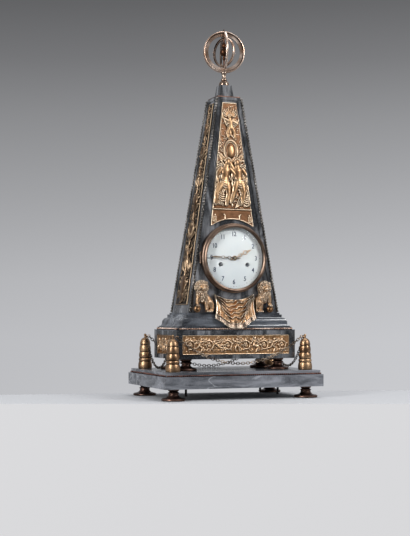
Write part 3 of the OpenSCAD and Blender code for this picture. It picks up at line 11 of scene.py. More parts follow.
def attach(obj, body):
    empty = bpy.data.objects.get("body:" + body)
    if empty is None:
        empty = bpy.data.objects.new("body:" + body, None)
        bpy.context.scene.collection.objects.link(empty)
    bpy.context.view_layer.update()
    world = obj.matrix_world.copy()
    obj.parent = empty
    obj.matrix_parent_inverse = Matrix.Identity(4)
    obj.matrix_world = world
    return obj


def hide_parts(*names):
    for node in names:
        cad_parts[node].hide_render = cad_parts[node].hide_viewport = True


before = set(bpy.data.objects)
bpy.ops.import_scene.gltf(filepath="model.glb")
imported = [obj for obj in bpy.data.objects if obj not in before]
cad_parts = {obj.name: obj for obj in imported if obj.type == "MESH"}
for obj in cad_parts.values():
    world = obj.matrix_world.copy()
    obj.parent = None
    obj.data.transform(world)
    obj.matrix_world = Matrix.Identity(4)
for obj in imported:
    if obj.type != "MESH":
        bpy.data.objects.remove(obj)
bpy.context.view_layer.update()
MM = 0.001

# Places that the part's source fixes, in metres
DIAL_Z = 0.241
PEDESTAL_TOP = 0.116
OBELISK_Z = 0.1465
OBELISK_H = 0.3785
OBELISK_HALF = (0.0825, 0.0455)
TOP_HALF = (0.02275, 0.0235)
SPHERE_Z = 0.6095
BOLLARD_FOOT, BOLLARD_H = 0.0477, 0.055
# Heights of the bollards' grooves, where their finish paints lines of shade
BOLLARD_GROOVES = [BOLLARD_FOOT + BOLLARD_H * share for share in (0.24, 0.35, 0.55, 0.77)]

# The camera that fits the photograph's straight edges
CAMERA_PLACE = (-0.7829, -1.8935, 0.1422)
CAMERA_WAY = (0.3668, 0.9303)
CAMERA_RISE = math.radians(2.33)


def add_object(name, data):
    thing = bpy.data.objects.new(name, data)
    bpy.context.scene.collection.objects.link(thing)
    return thing


def final_mesh(thing):
    """The plain mesh that an object comes to; the object itself is taken away."""
    depsgraph = bpy.context.evaluated_depsgraph_get()
    mesh = bpy.data.meshes.new_from_object(thing.evaluated_get(depsgraph))
    bpy.data.objects.remove(thing)
    return mesh


def make_camera():
    data = bpy.data.cameras.new("camera")
    data.lens = 77.98
    data.sensor_width = 36
    camera = add_object("camera", data)
    camera.location = CAMERA_PLACE
    level = math.cos(CAMERA_RISE)
    aim = Vector((CAMERA_WAY[0] * level, CAMERA_WAY[1] * level, math.sin(CAMERA_RISE)))
    camera.rotation_euler = aim.to_track_quat("-Z", "Y").to_euler()
    bpy.context.scene.camera = camera


class Nodes:
    """Adds nodes to one tree, and fills or joins their sockets."""

    def __init__(self, tree):
        self.tree = tree
        tree.nodes.clear()

    def new(self, kind):
        return self.tree.nodes.new("ShaderNode" + kind)

    def put(self, socket, value):
        if isinstance(value, bpy.types.NodeSocket):
            self.tree.links.new(value, socket)
        elif socket.type == "RGBA":
            socket.default_value = (*value[:3], 1)
        else:
            socket.default_value = value

    def add(self, kind, output=0, settings=(), **inputs):
        """A node with inputs given by name; returns one of its outputs."""
        node = self.new(kind)
        for key, value in dict(settings).items():
            setattr(node, key, value)
        for key, value in inputs.items():
            self.put(node.inputs[key.replace("_", " ")], value)
        return node.outputs[output]

    def fill(self, kind, values, output=0, **settings):
        """A node with its first inputs given in their order; returns one of its outputs."""
        node = self.new(kind)
        for key, value in settings.items():
            setattr(node, key, value)
        for socket, value in zip(node.inputs, values):
            self.put(socket, value)
        return node.outputs[output]

    def math(self, operation, a, b=0.0):
        return self.fill("Math", (a, b), operation=operation)

    def vector(self, operation, a, b=(0, 0, 0), output=0):
        return self.fill("VectorMath", (a, b), output, operation=operation)

    def blend(self, share, a, b):
        """One shader passing into another."""
        return self.fill("MixShader", (share, a, b))


class Finish(Nodes):
    """A material round one principled shader, with its patterns on the piece's own coordinates."""

    def __init__(self, name):
        self.material = bpy.data.materials.new(name)
        self.material.use_nodes = True
        super().__init__(self.material.node_tree)
        self.output = self.new("OutputMaterial")
        self.shader = self.new("BsdfPrincipled")
        self.show(self.shader.outputs[0])
        self.place = self.add("TexCoord", "Object")

    def show(self, shader):
        self.put(self.output.inputs["Surface"], shader)

    def set(self, **inputs):
        for key, value in inputs.items():
            self.put(self.shader.inputs[key.replace("_", " ")], value)

    def noise(self, scale, detail=6, distortion=0.0, roughness=0.55, place=None):
        return self.add(
            "TexNoise", Vector=place or self.place, Scale=scale, Detail=detail,
            Distortion=distortion, Roughness=roughness,
        )

    def stretch(self, scale, turn):
        return self.add("Mapping", Vector=self.place, Scale=scale, Rotation=turn)

    def stored(self, name):
        """A value that a carved piece stores at its points; nought on every other piece."""
        return self.add("Attribute", "Fac", {"attribute_name": name})

    def span(self, value, low, high, to_low=0.0, to_high=1.0):
        """A soft step as the value goes from low to high."""
        return self.fill(
            "MapRange", (value, low, high, to_low, to_high), interpolation_type="SMOOTHSTEP"
        )

    def mix(self, share, a, b):
        node = self.new("Mix")
        node.data_type = "RGBA"
        for socket, value in ((0, share), (6, a), (7, b)):
            self.put(node.inputs[socket], value)
        return node.outputs[2]

    def bump(self, height, distance, strength):
        grain = self.add("Bump", Height=height, Distance=distance, Strength=strength)
        self.set(Normal=grain)

    def nearest(self, value, levels, reach):
        """One at any of the levels, falling to nought at the reach from it."""
        share = 0.0
        for level in levels:
            off = self.math("ABSOLUTE", self.math("SUBTRACT", value, level))
            share = self.math("MAXIMUM", share, self.span(off, reach * 0.3, reach, 1, 0))
        return share

    def inward(self, centre):
        """One where a surface faces the centre that a ring is bent round."""
        way = self.vector("NORMALIZE", self.vector("SUBTRACT", self.place, centre))
        facing = self.vector("DOT_PRODUCT", way, self.add("TexCoord", "Normal"), "Value")
        return self.span(facing, -0.25, -0.6)


PALE_VEIN = (0.52, 0.54, 0.57)
PALE_GRAIN = (0.36, 0.38, 0.41)


def marble(name, dark, light, streak, polish=(0.14, 0.28), cloud=(0.36, 0.66)):
    """Blue-grey stone, cloudy along its streak, with pale veins and a polish that varies a little."""
    f = Finish(name)
    clouds = f.noise(26, 9, 0.8, 0.62, f.stretch(streak, (0.12, 0.06, 0.04)))
    drift = f.noise(9, 4, 0.5)
    grain = f.noise(420, 3)
    lines = f.noise(15, 8, 1.3, 0.5, f.stretch(streak, (0.2, 0.1, 0.15)))
    vein = f.span(f.math("ABSOLUTE", f.math("SUBTRACT", lines, 0.5)), 0.0, 0.02, 1, 0)
    vein = f.math("MULTIPLY", vein, f.span(drift, 0.45, 0.65))
    base = f.mix(f.span(clouds, *cloud), dark, light)
    pale = f.math("MULTIPLY", f.span(drift, 0.5, 0.75), 0.35)
    base = f.mix(pale, base, [1.5 * c for c in light])
    base = f.mix(f.math("MULTIPLY", vein, 0.6), base, PALE_VEIN)
    base = f.mix(f.math("MULTIPLY", f.span(grain, 0.45, 0.8), 0.2), base, PALE_GRAIN)
    f.set(Base_Color=base, Roughness=f.span(clouds, 0.3, 0.7, *polish), Specular_IOR_Level=0.5)
    f.bump(grain, 0.0002, 0.15)
    return f.material


def metal(
    name, light, dark, rough, crevice=0.0035, hollow_shade=(0.05, 0.028, 0.014), painted_highlight=None, worn=None,
    ground=None, centre=None, grooves=(),
):
    """Cast or turned metal: patchy tone, with painted shade browning its hollows and a painted highlight
    paling its peaks.
    """
    f = Finish(name)
    patch = f.noise(38, 6, 0.4)
    fine = f.noise(650, 3)
    base = f.mix(f.span(patch, 0.35, 0.68), dark, light)
    depth = f.stored("depth")
    if worn:
        base = f.mix(f.math("MULTIPLY", f.stored("worn"), 0.85), base, worn)
    if ground:
        matted = f.mix(f.span(f.noise(120, 4), 0.35, 0.7), ground, [0.6 * c for c in ground])
        base = f.mix(f.stored("ground"), base, matted)
    # Painted highlight: points standing above the smoothed surface round them are paled towards the
    # highlight colour
    if painted_highlight:
        base = f.mix(f.span(depth, -0.03, -0.24), base, painted_highlight)
    # Painted shade: dark lines along the bollards' grooves, at the listed heights
    if grooves:
        height = f.add("SeparateXYZ", 2, Vector=f.place)
        base = f.mix(f.nearest(height, grooves, 0.0011), base, hollow_shade)
    # Painted shade: faces turned in towards the ring's centre are darkened
    if centre:
        base = f.mix(f.inward(centre), base, [0.22 * c for c in dark])
    # Painted shade: hollows found both by ambient occlusion and by the stored depth take the hollow
    # shade colour
    hollow = f.add("AmbientOcclusion", 1, {"samples": 6}, Distance=crevice)
    sunk = f.math("MAXIMUM", f.span(hollow, 0.25, 0.85, 1, 0), f.span(depth, 0.02, 0.42))
    base = f.mix(sunk, base, hollow_shade)
    polish = f.span(f.math("ADD", patch, f.math("MULTIPLY", fine, 0.3)), 0.35, 0.9, *rough)
    polish = f.math("ADD", polish, f.math("MULTIPLY", sunk, 0.2))
    f.set(Base_Color=base, Metallic=1.0, Roughness=polish)
    f.bump(fine, 0.00025, 0.25)
    return f.material


def enamel():
    """Greyish white enamel, slightly wavy and a little warmer in places."""
    f = Finish("enamel")
    base = f.mix(f.span(f.noise(14, 3), 0.35, 0.7), (0.54, 0.565, 0.58), (0.60, 0.61, 0.60))
    f.set(Base_Color=base, Roughness=0.32, Coat_Weight=0.25, Coat_Roughness=0.25)
    f.bump(f.noise(60, 2), 0.0003, 0.08)
    return f.material


def clear_glass():
    """Glass with weak reflections, which throws no shadow on the dial."""
    f = Finish("clear_glass")
    f.set(Base_Color=(0.98, 1, 1), Roughness=0.02, IOR=1.05)
    f.set(Transmission_Weight=1.0, Specular_IOR_Level=0.1)
    shadow = f.add("LightPath", "Is Shadow Ray")
    f.show(f.blend(shadow, f.shader.outputs[0], f.add("BsdfTransparent")))
    return f.material


DARK_MARBLE = marble(
    "dark_marble", (0.018, 0.020, 0.023), (0.32, 0.33, 0.355), (1.3, 1.3, 0.35), (0.08, 0.18),
    (0.43, 0.72),
)
# A paler marble for the slab and plate: painted light, standing in for the light that falls on them
LIT_GREY_MARBLE = marble("lit_grey_marble", (0.065, 0.07, 0.08), (0.27, 0.28, 0.31), (0.4, 0.8, 2.0))
MOULDED_MARBLE = marble(
    "moulded_marble", (0.014, 0.016, 0.021), (0.13, 0.145, 0.17), (0.4, 0.8, 2.0), (0.03, 0.09)
)
# Painted shade colour for the hollows of the gilding
PAINTED_HOLLOW_SHADE = (0.035, 0.016, 0.008)
GILT = metal(
    "gilding", (0.66, 0.41, 0.225), (0.34, 0.185, 0.09), (0.22, 0.40), hollow_shade=PAINTED_HOLLOW_SHADE,
    painted_highlight=(1.0, 0.86, 0.68), worn=(0.21, 0.165, 0.135),
)
RELIEF_GILT = metal(
    "relief_gilding", (0.66, 0.42, 0.23), (0.38, 0.215, 0.11), (0.28, 0.46), hollow_shade=PAINTED_HOLLOW_SHADE,
    painted_highlight=(0.92, 0.74, 0.54), ground=(0.20, 0.10, 0.052),
)
FRIEZE_GILT = metal(
    "frieze_gilding", (0.72, 0.42, 0.21), (0.42, 0.23, 0.11), (0.28, 0.46),
    hollow_shade=(0.13, 0.06, 0.025), painted_highlight=(0.94, 0.72, 0.50), ground=(0.50, 0.28, 0.135),
)
# A darker copy of the relief gilding for the obelisk's sides, with a near-black ground: painted shade,
# as those faces stand away from the light
SHADED_SIDE_GILT = metal(
    "shaded_side_gilding", (0.30, 0.18, 0.10), (0.13, 0.07, 0.035), (0.28, 0.46),
    hollow_shade=(0.012, 0.007, 0.005), painted_highlight=(0.52, 0.38, 0.25), ground=(0.035, 0.022, 0.015),
)
ROSE_GILT = metal(
    "rose_gilding", (0.34, 0.24, 0.18), (0.145, 0.095, 0.07), (0.26, 0.46),
    hollow_shade=(0.03, 0.018, 0.012),
)
DARK_BRONZE = metal("dark_bronze", (0.22, 0.125, 0.095), (0.085, 0.05, 0.04), (0.28, 0.46))
BEAD_BRONZE = metal(
    "bead_bronze", (0.36, 0.335, 0.31), (0.08, 0.075, 0.07), (0.18, 0.32), 0.002,
    (0.006, 0.006, 0.006),
)
CORNICE_GILT = metal(
    "cornice_bead_gilding", (0.78, 0.60, 0.50), (0.30, 0.19, 0.14), (0.22, 0.36), 0.002,
    (0.02, 0.012, 0.01),
)
PLATE_BRONZE = metal(
    "plate_bead_bronze", (0.20, 0.095, 0.075), (0.07, 0.035, 0.03), (0.26, 0.42), 0.0015,
    (0.012, 0.008, 0.008),
)
# The bollards get painted shade lines at their groove heights
TURNED_BRASS = metal(
    "turned_brass", (0.56, 0.37, 0.215), (0.27, 0.16, 0.09), (0.26, 0.44), 0.005,
    (0.02, 0.012, 0.008), grooves=BOLLARD_GROOVES,
)
# The rings' inner faces take painted shade, darkened towards the frame's centre
SPHERE_BRASS = metal(
    "sphere_brass", (0.98, 0.80, 0.68), (0.46, 0.30, 0.21), (0.22, 0.40),
    hollow_shade=(0.03, 0.015, 0.01), centre=(0, 0, SPHERE_Z),
)
STEM_BRONZE = metal(
    "stem_bronze", (0.60, 0.47, 0.38), (0.22, 0.15, 0.11), (0.20, 0.36), 0.004, (0.02, 0.012, 0.008)
)
SPHERE_DARK = metal(
    "sphere_dark", (0.16, 0.07, 0.035), (0.06, 0.028, 0.016), (0.30, 0.46),
    hollow_shade=(0.02, 0.01, 0.006),
)
CHAIN_BRASS = metal("chain_brass", (0.62, 0.50, 0.38), (0.07, 0.05, 0.038), (0.22, 0.42), 0.001)
# A darker copy of the chain brass for the back and side chains: painted shade, as they hang in shadow
SHADED_CHAIN = metal("shaded_chain", (0.14, 0.11, 0.085), (0.04, 0.032, 0.028), (0.32, 0.50), 0.001)
HAND_GILT = metal("hand_gilding", (0.58, 0.43, 0.32), (0.40, 0.28, 0.19), (0.25, 0.40), 0.0006)
HAND_DARK = metal("hand_bronze", (0.32, 0.25, 0.19), (0.11, 0.085, 0.065), (0.28, 0.42), 0.0006)
CLOCK_BRASS = metal("clock_brass", (0.78, 0.60, 0.28), (0.62, 0.44, 0.18), (0.20, 0.34), 0.001)
BELL_METAL = metal("bell_metal", (0.66, 0.58, 0.42), (0.50, 0.42, 0.28), (0.24, 0.38))
STEEL = metal(
    "blued_steel", (0.46, 0.47, 0.50), (0.28, 0.29, 0.32), (0.22, 0.40), hollow_shade=(0.05, 0.045, 0.04)
)
BLACK_IRON = metal(
    "black_iron", (0.05, 0.045, 0.045), (0.02, 0.018, 0.018), (0.40, 0.60),
    hollow_shade=(0.01, 0.009, 0.009),
)
ENAMEL = enamel()
GLASS = clear_glass()

NODE_FINISH = {
    DARK_MARBLE: "pedestal_box obelisk_body cap_block",
    LIT_GREY_MARBLE: "base_slab base_plate",
    MOULDED_MARBLE: "cornice",
    GILT: "frieze_front frieze_left frieze_right relief_front relief_left relief_right"
          " lion_left lion_right lion_skin",
    STEM_BRONZE: "finial_stem",
    ROSE_GILT: "bezel_ring bezel_door",
    TURNED_BRASS: "bollards",
    SPHERE_BRASS: "armillary_frame inner_ring",
    SPHERE_DARK: "globe",
    DARK_BRONZE: "slab_feet pedestal_feet cap_plate",
    BEAD_BRONZE: "corner_beads",
    CORNICE_GILT: "cornice_beads",
    PLATE_BRONZE: "plate_beads",
    CHAIN_BRASS: "chain_front",
    SHADED_CHAIN: "chain_back chain_left chain_right",
    ENAMEL: "dial",
    HAND_GILT: "hour_hand",
    HAND_DARK: "minute_hand",
    GLASS: "bezel_glass",
    CLOCK_BRASS: "hour_wheel minute_wheel front_plate back_plate going_barrel strike_barrel"
                 " second_wheel centre_wheel third_wheel escape_wheel count_wheel pendulum rear_ring"
                 " rear_door case_straps",
    BELL_METAL: "bell",
    STEEL: "cannon_pinion going_arbor strike_arbor pallet_anchor bell_stand hammer",
    BLACK_IRON: "tie_rods",
}
for finish, names in NODE_FINISH.items():
    for name in names.split():
        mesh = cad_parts[name].data
        mesh.materials.clear()
        mesh.materials.append(finish)


def turned(degrees):
    a = math.radians(degrees)
    return np.array([math.cos(a), math.sin(a)])


def arch(a, b, bend, steps):
    """Points from a to b on a curve that stands off its chord by bend times its length."""
    a, b = np.asarray(a, float), np.asarray(b, float)
    side = np.array([a[1] - b[1], b[0] - a[0]])
    t = np.linspace(0, 1, steps)[:, None]
    return a + (b - a) * t + side * bend * 4 * t * (1 - t)


def panel(columns, rows):
    """A grid's shares across, from -1 to 1, and up, from 0 to 1."""
    return np.meshgrid(np.linspace(-1, 1, columns), np.linspace(0, 1, rows))


class Carving:
    """A field of heights over a grid, raised by its strokes, leaves and figures, in millimetres."""

    def __init__(self, across, up):
        self.u, self.v = across, up
        self.h = np.zeros_like(across)

    def stroke(self, points, radii, heights, lift, groove=0.0):
        """A rounded ridge along a line of points; groove sinks its middle, as a leaf's rib does."""
        points = np.asarray(points, float)
        n = len(points)
        radii = np.interp(np.linspace(0, 1, n), np.linspace(0, 1, len(radii)), radii)
        heights = np.interp(np.linspace(0, 1, n), np.linspace(0, 1, len(heights)), heights)
        low, high = points.min(0) - radii.max(), points.max(0) + radii.max()
        rows, columns = np.nonzero(
            (self.u > low[0]) & (self.u < high[0]) & (self.v > low[1]) & (self.v < high[1])
        )
        if not len(rows):
            return
        spots = np.stack([self.u[rows, columns], self.v[rows, columns]], 1)
        best = np.full(len(spots), -1e9)
        for a, b, ra, rb, ha, hb in zip(points, points[1:], radii, radii[1:], heights, heights[1:]):
            d = b - a
            t = np.clip(((spots - a) @ d) / max(d @ d, 1e-9), 0, 1)
            off = np.linalg.norm(spots - a - t[:, None] * d, axis=1)
            r = ra + (rb - ra) * t
            share = off / np.maximum(r, 1e-6)
            top = (ha + (hb - ha) * t) * np.sqrt(np.clip(1 - share ** 2, 0, 1))
            if groove:
                top *= 1 - groove * np.exp(-((share / 0.22) ** 2))
            best = np.maximum(best, np.where(share < 1, lift + top, -1e9))
        self.h[rows, columns] = np.maximum(self.h[rows, columns], best)

    def dome(self, share, height, lift):
        """A rounded top where the share, which is squared already, is under one."""
        top = lift + height * np.sqrt(np.clip(1 - share, 0, 1))
        self.h = np.maximum(self.h, np.where(share < 1, top, 0))

    def boss(self, centre, size, height, lift):
        du, dv = self.u - centre[0], self.v - centre[1]
        self.dome((du / size[0]) ** 2 + (dv / size[1]) ** 2, height, lift)

    def ring(self, centre, size, width, height, lift):
        share = np.hypot((self.u - centre[0]) / size[0], (self.v - centre[1]) / size[1])
        self.dome(((share - 1) * min(size) / width) ** 2, height, lift)

    def leaf(self, foot, tip, bend, width, height, lift=0.0):
        radii = (width * 0.4, width, width * 0.85, width * 0.12)
        heights = (height * 0.7, height, height * 0.5)
        self.stroke(arch(foot, tip, bend, 7), radii, heights, lift, 0.4)

    def spray(self, foot, angle, length, leaves, width, height, lift):
        """A stem with leaves in pairs along it."""
        way = turned(angle)
        tip = foot + length * way
        self.stroke([foot, tip], (width * 0.35, width * 0.2), (height,), lift)
        for i in range(leaves):
            t = 0.12 + 0.8 * i / leaves
            root = foot + length * t * way
            reach = length * 0.42 * (1 - 0.45 * t)
            for side in (-1, 1):
                end = root + reach * turned(angle + side * 55 * (1 - 0.3 * t))
                self.leaf(root, end, side * 0.2, width, height, lift)
        self.leaf(tip - length * 0.1 * way, tip + length * 0.25 * way, 0.0, width, height, lift)

    def scroll(self, centre, size, start, turns, width, height, lift, leaves):
        """A stem that winds inwards to a small flower."""
        steps = max(12, int(abs(turns) * 22))
        t = np.linspace(0, 1, steps)
        radius = size * (1 - 0.82 * t ** 0.9)
        angle = np.radians(start + 360 * turns * t)
        line = np.stack([centre[0] + radius * np.cos(angle), centre[1] + radius * np.sin(angle)], 1)
        self.stroke(line, (width, width * 0.75, width * 0.45), (height, height * 0.8), lift)
        hand = 1 if turns > 0 else -1
        for i in range(leaves):
            k = int(steps * (0.06 + 0.6 * i / leaves))
            tip = line[k] + size * 0.52 * turned(math.degrees(angle[k]) + 38 * hand)
            self.leaf(line[k], tip, 0.3 * hand, width * 1.25, height * 0.9, lift)
        for k in range(5):
            petal = centre + size * 0.16 * turned(72 * k + start)
            self.boss(petal, (size * 0.13, size * 0.13), height * 0.9, lift)
        self.boss(centre, (size * 0.1, size * 0.1), height * 1.2, lift)

    def wing(self, root, angle, length, feathers, spread, height, lift):
        for i in range(feathers):
            t = i / (feathers - 1)
            tip = root + length * (0.6 + 0.4 * t) * turned(angle - spread * (t - 0.5))
            self.leaf(root, tip, 0.12, length * 0.09, height * (1 - 0.3 * t), lift)

    def folds(self, corners, count, sag, width, height, lift):
        """Cloth: curved ridges from the edge of two corners to that of the others, spreading between."""
        a0, a1, b0, b1 = np.array(corners, float)
        radii, heights = (width * 0.6, width, width * 0.7), (height * 0.7, height, height * 0.8)
        for i in range(count):
            t = i / (count - 1)
            start, end = a0 + (a1 - a0) * t, b0 + (b1 - b0) * t
            self.stroke(arch(start, end, sag * (0.6 + 0.8 * t), 9), radii, heights, lift)

    def person(self, at, size, joints, lift, flip=1):
        """A small figure from the places of its joints, which are shares of its size."""
        def spot(p):
            return np.array([at[0] + flip * size * p[0], at[1] + size * p[1]])
        head, neck, hip = (spot(joints[k]) for k in ("head", "neck", "hip"))
        body = size * 0.092
        rise = 1.2 + 0.022 * size
        chest, waist = neck + (hip - neck) * 0.22, neck + (hip - neck) * 0.62
        heights = (1.25 * rise, 1.05 * rise, 1.2 * rise)
        self.stroke([chest, waist, hip], (body, body * 0.78, body), heights, lift)
        for limbs, thick, high in (("arms", 0.042, 0.95), ("legs", 0.064, 1.15)):
            radii = [size * thick * share for share in (1, 1.02, 0.74, 0.78, 0.42)]
            heights = [share * high * rise for share in (1, 1, 0.9, 0.85, 0.6)]
            for line in joints[limbs]:
                a, b, c = (spot(p) for p in line)
                self.stroke([a, (a + b) / 2, b, (b + c) / 2, c], radii, heights, lift)
        throat = (size * 0.045, size * 0.055, size * 0.09)
        self.stroke([head, neck, chest], throat, (0.9 * rise, 1.1 * rise), lift)
        self.boss(head, (size * 0.06, size * 0.078), 1.35 * rise, lift)
        for i in range(9):
            curl = head + size * 0.062 * turned(15 + 19 * i) + (0, size * 0.012)
            self.boss(curl, (size * 0.026, size * 0.026), 1.1 * rise, lift)


def add_mesh(name, points, faces, finish, body, smooth=True):
    mesh = bpy.data.meshes.new(name)
    mesh.from_pydata([tuple(p) for p in points], [], [tuple(int(i) for i in f) for f in faces])
    mesh.materials.append(finish)
    if smooth:
        mesh.polygons.foreach_set("use_smooth", [True] * len(mesh.polygons))
    mesh.update()
    piece = add_object(name, mesh)
    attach(piece, body)
    return piece


def surface(mesh):
    """A mesh's points and their normals, as rows."""
    sheets = []
    for key in ("co", "normal"):
        values = np.empty(len(mesh.vertices) * 3)
        mesh.vertices.foreach_get(key, values)
        sheets.append(values.reshape(-1, 3))
    return sheets


def store(piece, name, values):
    """Keeps one value for each point, which the finish reads."""
    piece.data.attributes.new(name, "FLOAT", "POINT").data.foreach_set("value", values)


def mark_depth(piece, spread=6):
    """Stores how far, in millimetres, each point lies below the smoothed surface round it."""
    mesh = piece.data
    points, normals = surface(mesh)
    n = len(points)
    ends = np.empty(len(mesh.edges) * 2, int)
    mesh.edges.foreach_get("vertices", ends)
    a, b = ends.reshape(-1, 2).T
    near = np.maximum(np.bincount(a, minlength=n) + np.bincount(b, minlength=n), 1)
    smooth = points.copy()
    for _ in range(spread):
        total = [
            np.bincount(a, smooth[b, k], n) + np.bincount(b, smooth[a, k], n) for k in range(3)
        ]
        smooth = 0.3 * smooth + 0.7 * np.stack(total, 1) / near[:, None]
    store(piece, "depth", ((smooth - points) * normals).sum(1) / MM)


def shell_faces(rows, columns):
    """Quads of a closed plate: a front grid, a back grid and the rim between them."""
    n = rows * columns
    k = np.arange(n).reshape(rows, columns)
    front = np.stack([k[:-1, :-1], k[:-1, 1:], k[1:, 1:], k[1:, :-1]], -1).reshape(-1, 4)
    rim = np.concatenate([k[0, :], k[1:, -1], k[-1, -2::-1], k[-2:0:-1, 0]])
    after = np.roll(rim, -1)
    edge = np.stack([after, rim, rim + n, after + n], -1)
    return np.concatenate([front, front[:, ::-1] + n, edge])


def face_frame(side):
    """Origin, across, up and out of a face of the obelisk, and its lean: -1 left, 0 front, 1 right."""
    axis = 0 if side else 1
    half = OBELISK_HALF[axis]
    lean = math.atan((half - TOP_HALF[axis]) / OBELISK_H)
    c, s = math.cos(math.radians(90 * side)), math.sin(math.radians(90 * side))
    def spin(x, y, z):
        return np.array([x * c - y * s, x * s + y * c, z])
    up = spin(0, math.sin(lean), math.cos(lean))
    out = spin(0, -math.cos(lean), math.sin(lean))
    return (spin(0, -half, OBELISK_Z), spin(1, 0, 0), up, out), lean


def carved_plate(name, carving, place, back, finish):
    """Turns a carving into a closed plate; place gives origin, across, up and out axes in metres."""
    origin, across, up, out = place
    def points(h):
        return (
            origin + carving.u[..., None] * MM * across + carving.v[..., None] * MM * up
            + h[..., None] * MM * out
        ).reshape(-1, 3)
    verts = np.concatenate([points(carving.h), points(np.full_like(carving.h, back))])
    piece = add_mesh(name + "_carving", verts, shell_faces(*carving.u.shape), finish, "case")
    mark_depth(piece)
    rise = np.clip((carving.h - carving.h.min() - 0.75) / 0.9, 0, 1)
    store(piece, "ground", np.concatenate([1 - rise.ravel(), np.ones(rise.size)]))
    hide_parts(name)


def edge_frame(carving, s, t, half, length, rim, height):
    """A plain raised rim round a panel, rounded at its outer edge."""
    near = np.minimum((1 - abs(s)) * half, np.minimum(t, 1 - t) * length)
    raised = np.maximum(carving.h, height * np.clip(near / 0.5, 0.35, 1))
    carving.h = np.where(near < rim, raised, carving.h)


# Figures, as seen from the front: each limb is three joints, from the body outwards
PUTTO = {
    "head": (-0.02, 0.40), "neck": (0, 0.27), "hip": (0.02, 0.0),
    "arms": [((-0.06, 0.25), (-0.26, 0.33), (-0.30, 0.52)), ((0.08, 0.25), (0.26, 0.18), (0.36, 0.36))],
    "legs": [((-0.04, 0), (-0.12, -0.20), (-0.06, -0.42)), ((0.07, 0), (0.16, -0.18), (0.18, -0.42))],
}
LEANING = {
    "head": (0.05, 0.42), "neck": (0.02, 0.31), "hip": (-0.03, 0.0),
    "arms": [((-0.09, 0.28), (-0.21, 0.12), (-0.15, -0.05)), ((0.1, 0.28), (0.2, 0.18), (0.12, 0.08))],
    "legs": [((-0.07, 0), (-0.19, -0.18), (-0.23, -0.43)), ((0.03, -0.02), (0.05, -0.22), (0, -0.44))],
}
STANDING = {
    "head": (-0.02, 0.41), "neck": (0.0, 0.30), "hip": (0.02, 0.0),
    "arms": [((-0.10, 0.28), (-0.17, 0.40), (-0.06, 0.52)), ((0.11, 0.27), (0.22, 0.12), (0.17, -0.06))],
    "legs": [((-0.03, 0), (-0.09, -0.20), (-0.17, -0.41)), ((0.08, 0), (0.13, -0.20), (0.08, -0.42))],
}
SEATED = {
    "head": (-0.02, 0.48), "neck": (0.0, 0.34), "hip": (-0.06, 0.0),
    "arms": [((-0.06, 0.31), (-0.22, 0.42), (-0.10, 0.60)), ((0.08, 0.31), (0.22, 0.14), (0.36, 0.20))],
    "legs": [((-0.04, 0), (0.26, -0.04), (0.20, -0.38)), ((0.02, -0.04), (0.22, -0.14), (0.08, -0.42))],
}
RUNNING = {
    "head": (0.10, 0.42), "neck": (0.04, 0.29), "hip": (-0.04, 0.02),
    "arms": [((0, 0.27), (-0.20, 0.16), (-0.36, 0.26)), ((0.08, 0.27), (0.28, 0.30), (0.42, 0.42))],
    "legs": [((-0.06, 0), (-0.24, -0.16), (-0.46, -0.18)), ((0, 0), (0.16, -0.18), (0.06, -0.44))],
}
RESTING = {
    "head": (-0.34, 0.26), "neck": (-0.26, 0.16), "hip": (0.02, -0.06),
    "arms": [((-0.28, 0.14), (-0.40, -0.04), (-0.30, -0.20)), ((-0.18, 0.16), (0, 0.22), (0.14, 0.36))],
    "legs": [((0.04, -0.06), (0.26, 0.06), (0.44, -0.14)), ((0.02, -0.1), (0.28, -0.16), (0.54, -0.18))],
}


# How proud of the stone a relief's ground stands, and where its back is sunk, in millimetres
RELIEF_GROUND, RELIEF_BACK = 0.9, -1.6


